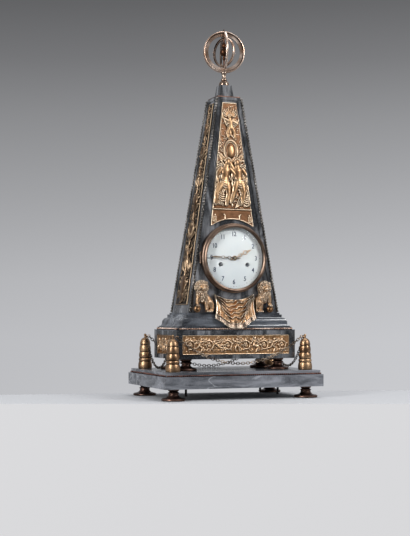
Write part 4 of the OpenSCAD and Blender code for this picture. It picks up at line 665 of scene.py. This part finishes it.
def front_relief():
    """Trophies and figures round an oval medallion, with v counted up from the dial's centre."""
    s, t = panel(150, 400)
    foot_v, top_v = 56.0, 274.0
    foot_half, top_half = 40, 13
    bezel_clear = 68
    medallion = (0, 188)
    ledge_v = 85
    def half(v):
        return foot_half - (v - foot_v) * (foot_half - top_half) / (top_v - foot_v)
    v = foot_v + t * (top_v - foot_v)
    for _ in range(12):
        u = s * half(v)
        low = np.maximum(np.sqrt(np.clip(bezel_clear ** 2 - u ** 2, 0, None)), foot_v)
        v = low + t * (top_v - low)
    c = Carving(u, v)
    rng = np.random.default_rng(7)
    c.h += 0.12 * np.sin(u * 2.1 + 1.3 * np.sin(v * 0.9)) * np.sin(v * 1.7)
    # Loose foliage over the ground
    for _ in range(190):
        y = rng.uniform(88, 268)
        foot = (rng.uniform(-1, 1) * (half(y) - 4), y)
        way = turned(rng.uniform(0, 360))
        tip = foot + rng.uniform(4, 8) * way
        c.leaf(foot, tip, rng.uniform(-0.3, 0.3), rng.uniform(0.9, 1.5), 0.8)
    # Palmette and ribbons at the top, over a small figure with a scarf
    for a in range(-70, 71, 20):
        tip = (0, 252) + (16 - abs(a) * 0.06) * turned(90 + a)
        c.leaf((0, 252), tip, a * 0.004, 1.7, 1.5, 0.2)
    for side in (-1, 1):
        ribbon = (0, 254), (side, 252), (side * 11, 262), (side * 13, 256)
        c.folds(ribbon, 3, -0.3 * side, 1.0, 1.3, 0.3)
        c.wing((side * 2.5, 239), 90 - side * 62, 15, 6, 52, 1.5, 0.3)
    c.person((0, 229), 50, PUTTO, 0.7)
    c.folds(((-15, 248), (-12, 244), (13, 242), (15, 238)), 4, -0.34, 0.9, 2.0, 0.9)
    for side in (-1, 1):
        line = arch((side * 3, 232), (side * 11, 209), -0.3 * side, 12)
        c.stroke(line, (1.0, 1.8, 0.9), (1.8, 2.4, 1.4), 0.5)
    # Oval medallion
    c.h = np.where(np.hypot(u / 14.5, (v - medallion[1]) / 20.5) < 1, 0.2, c.h)
    c.ring(medallion, (12.6, 18.4), 1.5, 2.0, 0.8)
    c.ring(medallion, (9.8, 15.2), 0.6, 0.9, 0.5)
    c.boss((0, 187.5), (7.0, 11.5), 1.9, 0.2)
    for side in (-1, 1):
        for k in range(6):
            foot = (side * (14 + 0.6 * k), 174 + 6 * k)
            c.leaf(foot, (side * (20.5 - 0.5 * k), 181 + 6 * k), -0.2 * side, 1.4, 1.1, 0.1)
    # Cloth, garlands and sheaves behind two tall figures that lean together
    for side in (-1, 1):
        for corners, sag, width in (
            (((6, 158), (15, 166), (16, 128), (31, 134)), 0.22, 1.5),
            (((9, 128), (17, 132), (17, 92), (34, 99)), 0.18, 1.6),
        ):
            c.folds([(side * x, y) for x, y in corners], 7, sag * side, width, 2.6, 0.3)
        line = arch((side * 19, 170), (side * 24, 130), -0.3 * side, 16)
        c.stroke(line, (1.2, 2.4, 1.4), (2.2, 3.0, 2.0), 0.4)
        line = arch((side * 23, 132), (side * 31, 92), 0.3 * side, 16)
        c.stroke(line, (1.4, 2.8, 1.6), (2.0, 3.2, 2.2), 0.4)
        c.scroll((side * 27, 96), 5.5, 200, side * 1.3, 1.5, 2.4, 0.5, 3)
        c.spray((side * 14, 171), 90 - side * 35, 14, 5, 1.7, 2.0, 0.4)
    for a, reach in ((30, 30), (42, 36), (54, 38), (66, 36)):
        tip = (6, 88) + reach * turned(a)
        c.stroke([(6, 88), tip], (0.9, 0.8), (2.4,), 0.4)
        c.leaf(tip, tip + 7 * turned(a), 0, 2.0, 2.6, 0.5)
    c.stroke([(1, 126), (1, 171)], (1.4, 2.0), (2.4,), 0.4)
    c.person((-11, 131), 88, LEANING, 1.0)
    c.person((12, 132), 86, STANDING, 1.2)
    for y0, y1, x0, x1, height in (
        (140, 128, -24, -4, 4.4), (139, 131, 4, 25, 4.4),
        (118, 104, -30, -12, 3.2), (116, 100, 16, 31, 3.2),
    ):
        sash = (x0, y0), (x0 + 2, y0 - 8), (x1 - 2, y1 + 6), (x1, y1 - 4)
        c.folds(sash, 4, -0.2, 1.2, height, 0.8)
    for _ in range(70):
        foot = (rng.uniform(-30, 30), rng.uniform(92, 172))
        tip = foot + rng.uniform(5, 9) * turned(rng.uniform(0, 360))
        c.leaf(foot, tip, rng.uniform(-0.4, 0.4), rng.uniform(1.0, 1.7), 2.4, 0.3)
    # Ledge over the plain foot, with its two brackets
    c.h = np.where(v < ledge_v, 0.35 + 0.05 * np.sin(u * 3) * np.sin(v * 2.3), c.h)
    c.stroke([(-foot_half, ledge_v), (foot_half, ledge_v)], (1.1,), (2.0,), 0.4)
    for side in (-1, 1):
        bracket = [(side * 13.5, 68), (side * 13.5, 74.5), (side * 15.5, 76)]
        c.stroke(bracket, (1.1,), (1.6,), 0.3)
        c.spray((side * 34, 62), 90 + side * 8, 12, 4, 1.3, 1.1, 0.3)
    edge_frame(c, s, t, half(v), top_v - foot_v, 1.2, 0.5)
    place, lean = face_frame(0)
    c.v = (c.v + (DIAL_Z - OBELISK_Z) / MM) / math.cos(lean)
    c.h += RELIEF_GROUND
    carved_plate("relief_front", c, place, RELIEF_BACK, RELIEF_GILT)


def side_relief(name, side):
    """A tall trophy: urns, winged figures and wreathed medallions in turn on one stem."""
    s, t = panel(90, 520)
    foot_v, top_v = 14.0, 373.0
    foot_half, top_half = 28, 10
    def half(v):
        return foot_half - (v - foot_v) * (foot_half - top_half) / (top_v - foot_v)
    v = foot_v + t * (top_v - foot_v)
    c = Carving(s * half(v), v)
    rng = np.random.default_rng(11)
    for _ in range(420):
        y = rng.uniform(20, 366)
        foot = (rng.uniform(-1, 1) * (half(y) - 4), y)
        tip = foot + rng.uniform(4, 8) * turned(rng.uniform(0, 360))
        c.leaf(foot, tip, rng.uniform(-0.3, 0.3), rng.uniform(1.0, 1.7), rng.uniform(0.8, 1.6))
    c.stroke([(0, 18), (0, 368)], (1.4, 0.9), (2.0, 1.6), 0.2)
    for k, y in enumerate((30, 84, 136, 186, 234, 280, 322)):
        w = half(y)
        if k % 3 == 0:
            c.boss((0, y + w * 0.7), (w * 0.42, w * 0.6), 2.6, 0.6)
            c.stroke([(0, y - 2), (0, y + 3)], (w * 0.36, w * 0.12), (2.2,), 0.4)
            for lr in (-1, 1):
                c.scroll((lr * w * 0.52, y + w * 0.9), w * 0.26, 90, lr * 1.2, 1.2, 1.9, 0.4, 2)
                c.spray((0, y - 4), 90 - lr * 58, w * 0.8, 5, 1.5, 1.6, 0.3)
        elif k % 3 == 1:
            figure, flip = (PUTTO, 1) if k < 3 else (SEATED, side)
            c.person((0, y + w * 0.6), w * 1.7, figure, 0.8, flip)
            for lr in (-1, 1):
                c.wing((lr * 2, y + w * 0.9), 90 - lr * 60, w * 0.66, 6, 50, 1.5, 0.2)
                cloth = (lr * 3, y + 6), (lr * 7, y + 8), (lr * w * 0.4, y - 10), (lr * w * 0.8, y - 6)
                c.folds(cloth, 4, 0.2 * lr, 1.2, 1.6, 0.2)
        else:
            c.ring((0, y + w * 0.5), (w * 0.5, w * 0.62), 1.3, 1.9, 0.6)
            c.boss((0, y + w * 0.5), (w * 0.32, w * 0.42), 1.7, 0.3)
            for lr in (-1, 1):
                for a in (30, 52, 70):
                    way = turned(a if lr > 0 else 180 - a)
                    tip = (0, y - 8) + w * 1.15 * way
                    c.stroke([(0, y - 8), tip], (0.9,), (1.9,), 0.3)
                    c.leaf(tip, tip + 5 * way, 0, 1.6, 1.9, 0.3)
                line = arch((lr * 2, y + w * 1.3), (lr * 4, y - 10), -0.35 * lr, 14)
                c.stroke(line, (1.0, 2.0, 1.2), (1.7, 2.2, 1.6), 0.3)
    edge_frame(c, s, t, half(v), top_v - foot_v, 1.0, 0.15)
    c.h *= 1.25
    c.h += RELIEF_GROUND
    # The side panels take the darker copy of the gilding, which is painted shade
    carved_plate(name, c, face_frame(side)[0], RELIEF_BACK, SHADED_SIDE_GILT)


def frieze(name, turn, width, face, seed, busy):
    """Winding foliage with small figures at play between its scrolls, busy being their number."""
    height, middle_z, sunk = 33.0, 0.0918, 0.002
    s, t = panel(int(width * 2.1), 74)
    u, v = s * width / 2, (t - 0.5) * height
    c = Carving(u, v)
    rng = np.random.default_rng(seed)
    c.h += 0.1 * np.sin(u * 2.3) * np.sin(v * 2.9 + u)
    for _ in range(int(width * 0.9)):
        foot = (rng.uniform(-0.48, 0.48) * width, rng.uniform(-12, 12))
        tip = foot + rng.uniform(3.5, 7) * turned(rng.uniform(0, 360))
        c.leaf(foot, tip, rng.uniform(-0.3, 0.3), rng.uniform(0.8, 1.3), 0.7)
    poses = (RUNNING, RESTING, PUTTO, SEATED)
    for k in range(busy):
        x = (k + 0.5 - busy / 2) * (width - 12) / busy
        if k % 2 == 0:
            c.scroll((x, -1.5), 9.5, 140, -1.6, 1.3, 1.9, 0.4, 5)
            c.spray((x - 9, 9), -30, 10, 4, 1.2, 1.4, 0.3)
        else:
            c.person((x, -1.5), 25, poses[(k // 2) % 4], 0.8)
            c.folds(((x - 8, 8), (x - 6, 5), (x + 6, 11), (x + 9, 8)), 3, -0.3, 0.9, 1.3, 0.4)
            c.spray((x + 8, -11), 120, 9, 4, 1.2, 1.4, 0.3)
    edge_frame(c, s, t, width / 2, height, 1.2, 0.8)
    c.h += 0.5
    a = math.radians(turn)
    across = np.array([math.cos(a), math.sin(a), 0])
    out = np.array([math.sin(a), -math.cos(a), 0])
    origin = out * (face - sunk) + np.array([0, 0, middle_z])
    carved_plate(name, c, (origin, across, np.array([0, 0, 1.0]), out), 0.0, FRIEZE_GILT)


def front_y(z):
    """Where the obelisk's front face is at a height, in metres."""
    share = (z - OBELISK_Z) / OBELISK_H
    return -(OBELISK_HALF[1] + (TOP_HALF[1] - OBELISK_HALF[1]) * share)


# The skin and the lions stand a little left of the middle, in millimetres
SKIN_X = -1.5


def lion_skin():
    """Drapery hung from its two upper corners: swags above, flutes below, and a hem with studs."""
    rows, columns = 150, 170
    s, t = panel(columns, rows)
    half, top_radius, hem_z, hem_height = 37, 72, 118.8, 9.0
    cornice_y = 60.3
    x = s * half * (1 - 0.05 * np.sin(math.pi * t) + 0.04 * t ** 3)
    top_z = DIAL_Z / MM - np.sqrt(top_radius ** 2 - x ** 2)
    low_z = hem_z + 19 * abs(s) ** 1.8 + 0.9 * np.cos(s * 9.5)
    z = top_z + (low_z - top_z) * t
    swag = t / (0.80 * (1 - 0.80 * s ** 2))
    sway = 0.5 * np.sin(s * 2.4) + 0.28 * np.sin(s * 7.3 + 3 * swag)
    sway += 0.16 * np.sin(s * 15 - 5 * swag)
    ridge = abs(((swag * 5.2 + sway + 0.35) % 1) - 0.5) * 2
    folds = (2.6 + 0.9 * np.sin(s * 9 + 6 * swag)) * (1 - ridge) ** 1.4 - 0.9
    flutes = 1.1 * np.cos(s * 15 + 1.2 * np.sin(4 * t)) + 0.5 * np.cos(s * 31)
    hang = np.clip((swag - 0.86) / 0.25, 0, 1)
    height = 4.6 + folds * (1 - hang) + flutes * hang
    gather = np.exp(-((1 - abs(s)) / 0.12) ** 2) * np.clip(1 - 1.6 * t, 0, 1)
    height += 2.2 * gather * (0.6 + 0.4 * np.cos(46 * (1 - abs(s))))
    # The hem, with a rib along each of its edges and studs between
    hem = np.clip((z - low_z) / hem_height, 0, 1)
    band = hem < 0.92
    height = np.where(band, 3.4 + 0.5 * flutes, height)
    height += 0.8 * np.exp(-((hem - 0.92) / 0.07) ** 2) + 0.7 * np.exp(-((hem - 0.10) / 0.08) ** 2)
    studs = np.cos(x * 1.45) * np.where(abs(hem - 0.5) < 0.28, 1, 0)
    height += np.where(studs > 0.55, 0.25, 0)
    fur = 0.16 * np.sin(x * 4.1 + 2 * np.sin(z * 0.7)) * np.sin(z * 2.9)
    height += fur * np.where(band, 0.4, 1)
    height *= np.minimum(1, np.minimum((1 - abs(s)) / 0.03, np.minimum(t, 1 - t) / 0.02) + 0.35)
    stone = np.maximum(0.1 - front_y(z * MM) / MM, cornice_y - (z - PEDESTAL_TOP / MM) * 0.25)
    def points(out):
        return np.stack([x + SKIN_X, -stone - out, z], -1).reshape(-1, 3) * MM
    verts = np.concatenate([points(height), points(np.zeros_like(height))])
    piece = add_mesh("lion_skin_drape", verts, shell_faces(rows, columns)[:, ::-1], GILT, "case")
    mark_depth(piece)
    store(piece, "worn", np.tile(np.where(band, 1.0, 0.0).ravel(), 2))
    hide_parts("lion_skin")


def ball_points(centre, radius, rings=9):
    """A ball as points and triangles."""
    spots, faces = [(0, 0, 1)], []
    for i in range(1, rings):
        a = math.pi * i / rings
        spots += [
            (math.sin(a) * math.cos(b), math.sin(a) * math.sin(b), math.cos(a))
            for b in np.linspace(0, 2 * math.pi, 2 * rings, endpoint=False)
        ]
    spots.append((0, 0, -1))
    n, last = 2 * rings, len(spots) - 1
    for k in range(n):
        after = (k + 1) % n
        faces.append((0, 1 + k, 1 + after))
        for i in range(rings - 2):
            a, b = 1 + i * n, 1 + (i + 1) * n
            faces += [(a + k, b + k, b + after), (a + k, b + after, a + after)]
        low = 1 + (rings - 2) * n
        faces.append((last, low + after, low + k))
    return np.array(centre) + radius * np.array(spots), faces


# The right-hand lion in its own millimetres, standing on a height of nought
HEAD_X, MANE_Z = -4, 43.2
BALL = np.array([5.3, -1, 6.2])


def lion_blobs():
    """Every blob of a sitting lion, 55 mm high, as (place, radius)."""
    blobs = []
    def blob(x, y, z, radius):
        blobs.append((np.array([x, y, z]), radius))
    def limb(a, ra, b, rb, steps=9):
        a, b = np.array(a, float), np.array(b, float)
        for t in np.linspace(0, 1, steps):
            blobs.append((a + (b - a) * t, ra + (rb - ra) * t))
    def paw(at, forward=-3.2):
        for k in (-1, 0, 1):
            limb(at, 2.0, (at[0] + 1.75 * k, at[1] + forward, at[2] - 0.9), 1.45, 4)
    # Forelegs: the outer one on the ball, then the inner one
    limb((1, 0, 33), 6, (3.6, -0.6, 24), 4.6)
    limb((3.6, -0.6, 24), 4.6, (4.7, -1, 16), 3.3)
    limb((4.8, -1.6, 14.4), 3.2, (5.4, -4.4, 13.2), 2.6, 5)
    paw((5.4, -4.0, 13.0), -2.6)
    limb((-9, 0, 29), 5.2, (-11, -1.4, 16), 4.0)
    limb((-11, -1.4, 16), 4.0, (-12, -2, 5), 3.1)
    limb((-12, -2, 3.6), 3.2, (-12.4, -5.4, 3.2), 2.6, 5)
    paw((-12.4, -5.0, 3.2))
    # Chest, back, haunch and hind foot
    limb((-4, 1, 34), 9, (-6, 2, 22), 7.4)
    limb((-6, 3, 29), 8.5, (-16, 4, 19), 8.6, 6)
    limb((-17, 2.2, 17), 8.4, (-21, 1.6, 9), 6.0, 6)
    limb((-21, -1, 4), 3.6, (-17.5, -6, 3.2), 2.7, 6)
    paw((-17.3, -5.8, 3.1), -2.8)
    # Head: neck, skull, muzzle, nose and jaw, then brow, eye, cheek, lip and ear on each side
    blob(HEAD_X, 2.5, 41, 9.4)
    blob(HEAD_X, -4.2, 44.2, 6.3)
    limb((HEAD_X, -8.6, 42.4), 3.7, (HEAD_X, -11.3, 41.2), 2.6, 5)
    limb((HEAD_X, -7.8, 46.6), 2.4, (HEAD_X, -12.4, 42.8), 1.15, 8)
    limb((HEAD_X, -8, 38.4), 2.4, (HEAD_X, -10.4, 37.8), 1.8, 4)
    for side in (-1, 1):
        limb((HEAD_X + side * 1.2, -8.8, 47.6), 1.7, (HEAD_X + side * 4.6, -7.2, 47.4), 1.5, 5)
        blob(HEAD_X + side * 2.7, -9.2, 45.3, 1.0)
        blob(HEAD_X + side * 4.6, -6.0, 42.4, 2.9)
        limb((HEAD_X + side * 1.2, -11.2, 40.6), 1.9, (HEAD_X + side * 2.4, -10, 40.2), 1.7, 3)
        limb((HEAD_X + side * 6.4, -4.0, 49.6), 2.3, (HEAD_X + side * 7.2, -4.6, 51.4), 1.5, 4)
    # Mane: rings of round curls, then rows of them down the chest
    for radius, y, count, size, start in (
        (7.6, -4.6, 13, 1.9, 0), (9.6, -2.2, 16, 2.15, 11),
        (10.6, 1.2, 17, 2.3, 0), (10.4, 4.6, 17, 2.2, 9),
    ):
        for k in range(count):
            a = math.radians(start + 360 * k / count)
            blob(HEAD_X + radius * math.cos(a), y, MANE_Z + radius * math.sin(a), size)
    for row in range(5):
        for k in range(5 - row // 2):
            x = -4.6 - 0.6 * row + (k - (4 - row // 2) / 2) * 3.2
            y = -5.6 + 0.5 * row + 0.12 * (x + 5) ** 2
            blob(x, y, 33.6 - 3.1 * row, 2.1 - 0.12 * row)
    return blobs


def lion(name, side):
    """A sitting lion, its outer forepaw on a ball, cut flat where it meets the stone."""
    verts, faces = [], []
    for centre, radius in lion_blobs():
        spots, tris = ball_points(centre, radius)
        faces += [tuple(i + len(verts) for i in tri) for tri in tris]
        verts += list(spots * MM)
    mesh = bpy.data.meshes.new(name + "_blobs")
    mesh.from_pydata([tuple(v) for v in verts], [], faces)
    rough = add_object(name + "_blobs", mesh)
    remesh = rough.modifiers.new("skin", "REMESH")
    remesh.mode = "VOXEL"
    remesh.voxel_size = 0.00042
    smooth = rough.modifiers.new("soften", "SMOOTH")
    smooth.iterations = 3
    smooth.factor = 0.5
    body = final_mesh(rough)
    quads = [list(q.vertices) for q in body.polygons]
    p, normals = surface(body)
    p /= MM
    # Hair: swirls in each curl of the mane, fine strokes on the flanks, none on the muzzle
    x, y, z = p.T
    mane = np.hypot(x - HEAD_X, z - MANE_Z)
    chest = (z > 18) & (z < 36) & (abs(x + 5.5) < 7) & (y < 0)
    swirl = 0.7 * np.sin(x * 3.1 + 1.6 * np.sin(z * 2.2)) * np.sin(z * 3.3 + 1.2 * np.sin(y * 2.7))
    fur = 0.22 * np.sin(x * 2.9 + z * 0.9 + 2 * np.sin(z * 0.6)) * np.cos(z * 1.3 + np.sin(x * 0.8))
    fur = np.where((mane < 6.4) & (y < -4), 0.0, fur)
    p += normals * np.where((mane > 6.6) & (z > 30) | chest, swirl, fur)[:, None]
    for hand in (-1, 1):
        eye = np.linalg.norm(p - [HEAD_X + hand * 2.7, -10.1, 45.2], axis=1)
        p += normals * (-0.45 * np.exp(-((eye - 1.15) / 0.4) ** 2))[:, None]
    mouth = abs(z - (39.3 + 0.12 * (x - HEAD_X) ** 2)) < 0.45
    p += normals * np.where(mouth & (y < -8.5), -0.55, 0)[:, None]
    # The ball, with a band round its middle and a ring sunk in its front
    spots, tris = ball_points(BALL, BALL[2], 24)
    band = abs(spots[:, 2] - BALL[2]) < 0.45
    spots[band] += (spots[band] - BALL) * 0.05
    ring = np.hypot(spots[:, 0] - BALL[0], spots[:, 2] - BALL[2])
    sunk = np.where(spots[:, 1] < BALL[1], 0.9 * np.exp(-((ring - 3.1) / 0.7) ** 2), 0)
    spots[:, 1] += sunk
    n = len(p)
    quads += [[i + n for i in tri] for tri in tris]
    p = np.concatenate([p, spots])
    # Set beside the skin on the cornice, clear of the stone behind it
    ledge, skin_edge = OBELISK_Z / MM, 38.8
    aside, shift, forward = 62.5, -3.5, -51
    p[:, 0] *= side
    p += [side * aside + shift, forward, ledge]
    p[:, 2] = np.maximum(p[:, 2], ledge)
    p[:, 1] = np.minimum(p[:, 1], front_y(p[:, 2] * MM) / MM)
    p[:, 0] = np.maximum(side * (p[:, 0] - SKIN_X), skin_edge) * side + SKIN_X
    if side < 0:
        quads = [q[::-1] for q in quads]
    piece = add_mesh(name + "_carving", p * MM, quads, GILT, "case")
    mark_depth(piece, 8)
    # The ring sunk in the ball is stored as depth, so its finish paints shade in it
    for point, sink in zip(piece.data.attributes["depth"].data[n:], sunk):
        point.value = sink * 0.6
    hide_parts(name)


def dial_marks():
    """Upright numbers and minute dots in dark blue, laid on the dial's dome."""
    number_ring, number_size, narrowing = 0.0415, 0.0112, 0.86
    minute_ring, dot, hour_dot = 0.0494, 0.0004, 0.00072
    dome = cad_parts["dial"].data
    tree = BVHTree.FromPolygons([v.co for v in dome.vertices], [q.vertices for q in dome.polygons])
    points, faces = [], []
    def lay(outline, polygons):
        """Puts flat points (x, z from the dial's centre) on the dome, with a hair's thickness."""
        n = len(outline)
        base = len(points)
        for lift in (0.00012, -0.0002):
            for x, z in outline:
                hit = tree.ray_cast(Vector((x, -0.2, DIAL_Z + z)), Vector((0, 1, 0)))[0]
                points.append((x, (hit.y if hit else -0.047) - lift, DIAL_Z + z))
        for q in polygons:
            faces.append([base + i for i in q])
            faces.append([base + n + i for i in reversed(q)])
        edges = dict.fromkeys(edge for q in polygons for edge in zip(q, q[1:] + q[:1]))
        for a, b in edges:
            if (b, a) not in edges:
                faces.append([base + b, base + a, base + n + a, base + n + b])
    for hour in range(1, 13):
        curve = bpy.data.curves.new("number", "FONT")
        curve.body = str(hour)
        curve.size = number_size
        curve.align_x = "CENTER"
        curve.align_y = "CENTER"
        curve.offset = 0.0002
        curve.space_character = 0.92
        curve.resolution_u = 6
        mesh = final_mesh(add_object("number", curve))
        x, z = number_ring * turned(90 - 30 * hour)
        outline = [(v.co.x * narrowing + x, v.co.y + z) for v in mesh.vertices]
        lay(outline, [list(q.vertices) for q in mesh.polygons])
    sides = 10
    for minute in range(60):
        centre = minute_ring * turned(6 * minute)
        r = dot if minute % 5 else hour_dot
        lay([centre + r * turned(360 * k / sides) for k in range(sides)], [list(range(sides))])
    ink = Finish("number_enamel")
    blue = ink.mix(ink.noise(300, 3), (0.012, 0.02, 0.05), (0.03, 0.05, 0.10))
    ink.set(Base_Color=blue, Roughness=0.2, Coat_Weight=0.3)
    piece = add_mesh("dial_numbers", points, faces, ink.material, "case", smooth=False)


front_relief()
side_relief("relief_left", -1)
side_relief("relief_right", 1)
frieze("frieze_front", turn=0, width=199, face=0.0575, seed=3, busy=11)
frieze("frieze_left", turn=-90, width=89, face=0.11, seed=5, busy=5)
frieze("frieze_right", turn=90, width=89, face=0.11, seed=6, busy=5)
lion_skin()
lion("lion_left", -1)
lion("lion_right", 1)
dial_marks()


# Table, backdrop and lamps
EDGE_GREY = (0.716, 0.716, 0.731)


def make_stage():
    """A plain board under the clock, square to the camera, with a pale front edge."""
    view = np.array(CAMERA_WAY)
    side = np.array([view[1], -view[0]])
    near, drop, reach = 1.872, -1.4, 1.6
    slope = 0.17
    far_left, far_right = 2.095 - slope * (reach - 0.35), 2.20 + slope * (reach - 0.37)
    def spot(depth, across, z):
        return (*(CAMERA_PLACE[:2] + view * depth + side * across), z)
    points = [
        spot(near, -reach, drop), spot(near, reach, drop), spot(near, reach, 0), spot(near, -reach, 0),
        spot(far_right, reach, 0), spot(far_left, -reach, 0), spot(far_right, reach, drop),
        spot(far_left, -reach, drop),
    ]
    for name, quads, color, glow in (
        ("board_top", [(3, 2, 4, 5)], (0.60, 0.61, 0.63), 0.0),
        ("board_front", [(0, 1, 2, 3), (5, 4, 6, 7)], (0.70, 0.70, 0.71), 0.9),
    ):
        mesh = bpy.data.meshes.new(name)
        mesh.from_pydata(points, [], quads)
        mesh.materials.append(stage_paint(name, color, glow))
        piece = add_object(name, mesh)


def stage_paint(name, color, glow):
    """Matt paint; glow is the share of plain grey that the camera sees whatever the light."""
    f = Finish(name)
    f.set(Base_Color=color, Roughness=0.7, Specular_IOR_Level=0.2)
    if glow:
        flat = f.add("Emission", Color=EDGE_GREY)
        path = f.new("LightPath")
        seen = f.math("MAXIMUM", path.outputs["Is Camera Ray"], path.outputs["Is Transmission Ray"])
        f.show(f.blend(f.math("MULTIPLY", seen, glow), f.shader.outputs[0], flat))
    return f.material


def make_world():
    """A wall that darkens upwards, seen by the camera, and a plain studio for everything else."""
    world = bpy.data.worlds.new("studio")
    bpy.context.scene.world = world
    world.use_nodes = True
    w = Nodes(world.node_tree)
    output = w.new("OutputWorld")
    place = w.add("TexCoord", "Generated")
    def ramp(way, low, high, stops):
        along = w.vector("DOT_PRODUCT", place, way, "Value")
        node = w.new("ValToRGB")
        w.put(node.inputs[0], w.fill("MapRange", (along, low, high)))
        elements = node.color_ramp.elements
        elements[0].position, elements[1].position = stops[0][0], stops[-1][0]
        for position, _ in stops[1:-1]:
            elements.new(position)
        for element, (position, level) in zip(elements, stops):
            element.color = (level * 0.98, level * 0.99, level * 1.03, 1)
        return node.outputs[0]
    wall = ramp((0, 0, 1), -0.10, 0.28, (
        (0.09, 0.56), (0.207, 0.55), (0.343, 0.50), (0.524, 0.385), (0.702, 0.279), (0.832, 0.190),
        (0.949, 0.133), (1.0, 0.115),
    ))
    sideways = w.vector("DOT_PRODUCT", place, (CAMERA_WAY[1], -CAMERA_WAY[0], 0), "Value")
    lift = w.fill("Math", (sideways, 0.35, 1.0), operation="MULTIPLY_ADD")
    wall = w.add("VectorMath", 0, {"operation": "SCALE"}, Vector=wall, Scale=lift)
    room = ramp((0.35, 0.25, 0.9), -1, 1, ((0.0, 0.16), (0.35, 0.20), (0.6, 0.42), (1.0, 0.70)))
    seen = w.add("LightPath", "Is Camera Ray")
    dull, plain = (
        w.add("Background", Color=color, Strength=strength)
        for color, strength in ((room, 0.8), (wall, 1.0))
    )
    w.put(output.inputs[0], w.blend(seen, dull, plain))


def make_lamp(name, place, target, size, power):
    data = bpy.data.lights.new(name, "AREA")
    data.shape = "RECTANGLE"
    data.size, data.size_y = size
    data.energy = power
    lamp = add_object(name, data)
    lamp.location = place
    lamp.rotation_euler = (Vector(target) - Vector(place)).to_track_quat("-Z", "Y").to_euler()


make_camera()
make_stage()
make_world()
make_lamp("key_lamp", (1.2, -1.6, 1.3), (0, 0, 0.3), size=(0.55, 0.9), power=23)
make_lamp("left_lamp", (-1.8, -0.9, 0.8), (0, 0, 0.25), size=(0.4, 1.1), power=26)
make_lamp("top_lamp", (0.3, 0.2, 1.9), (0, 0, 0.2), size=(1.0, 0.6), power=9)
bpy.context.scene.view_settings.view_transform = "Standard"
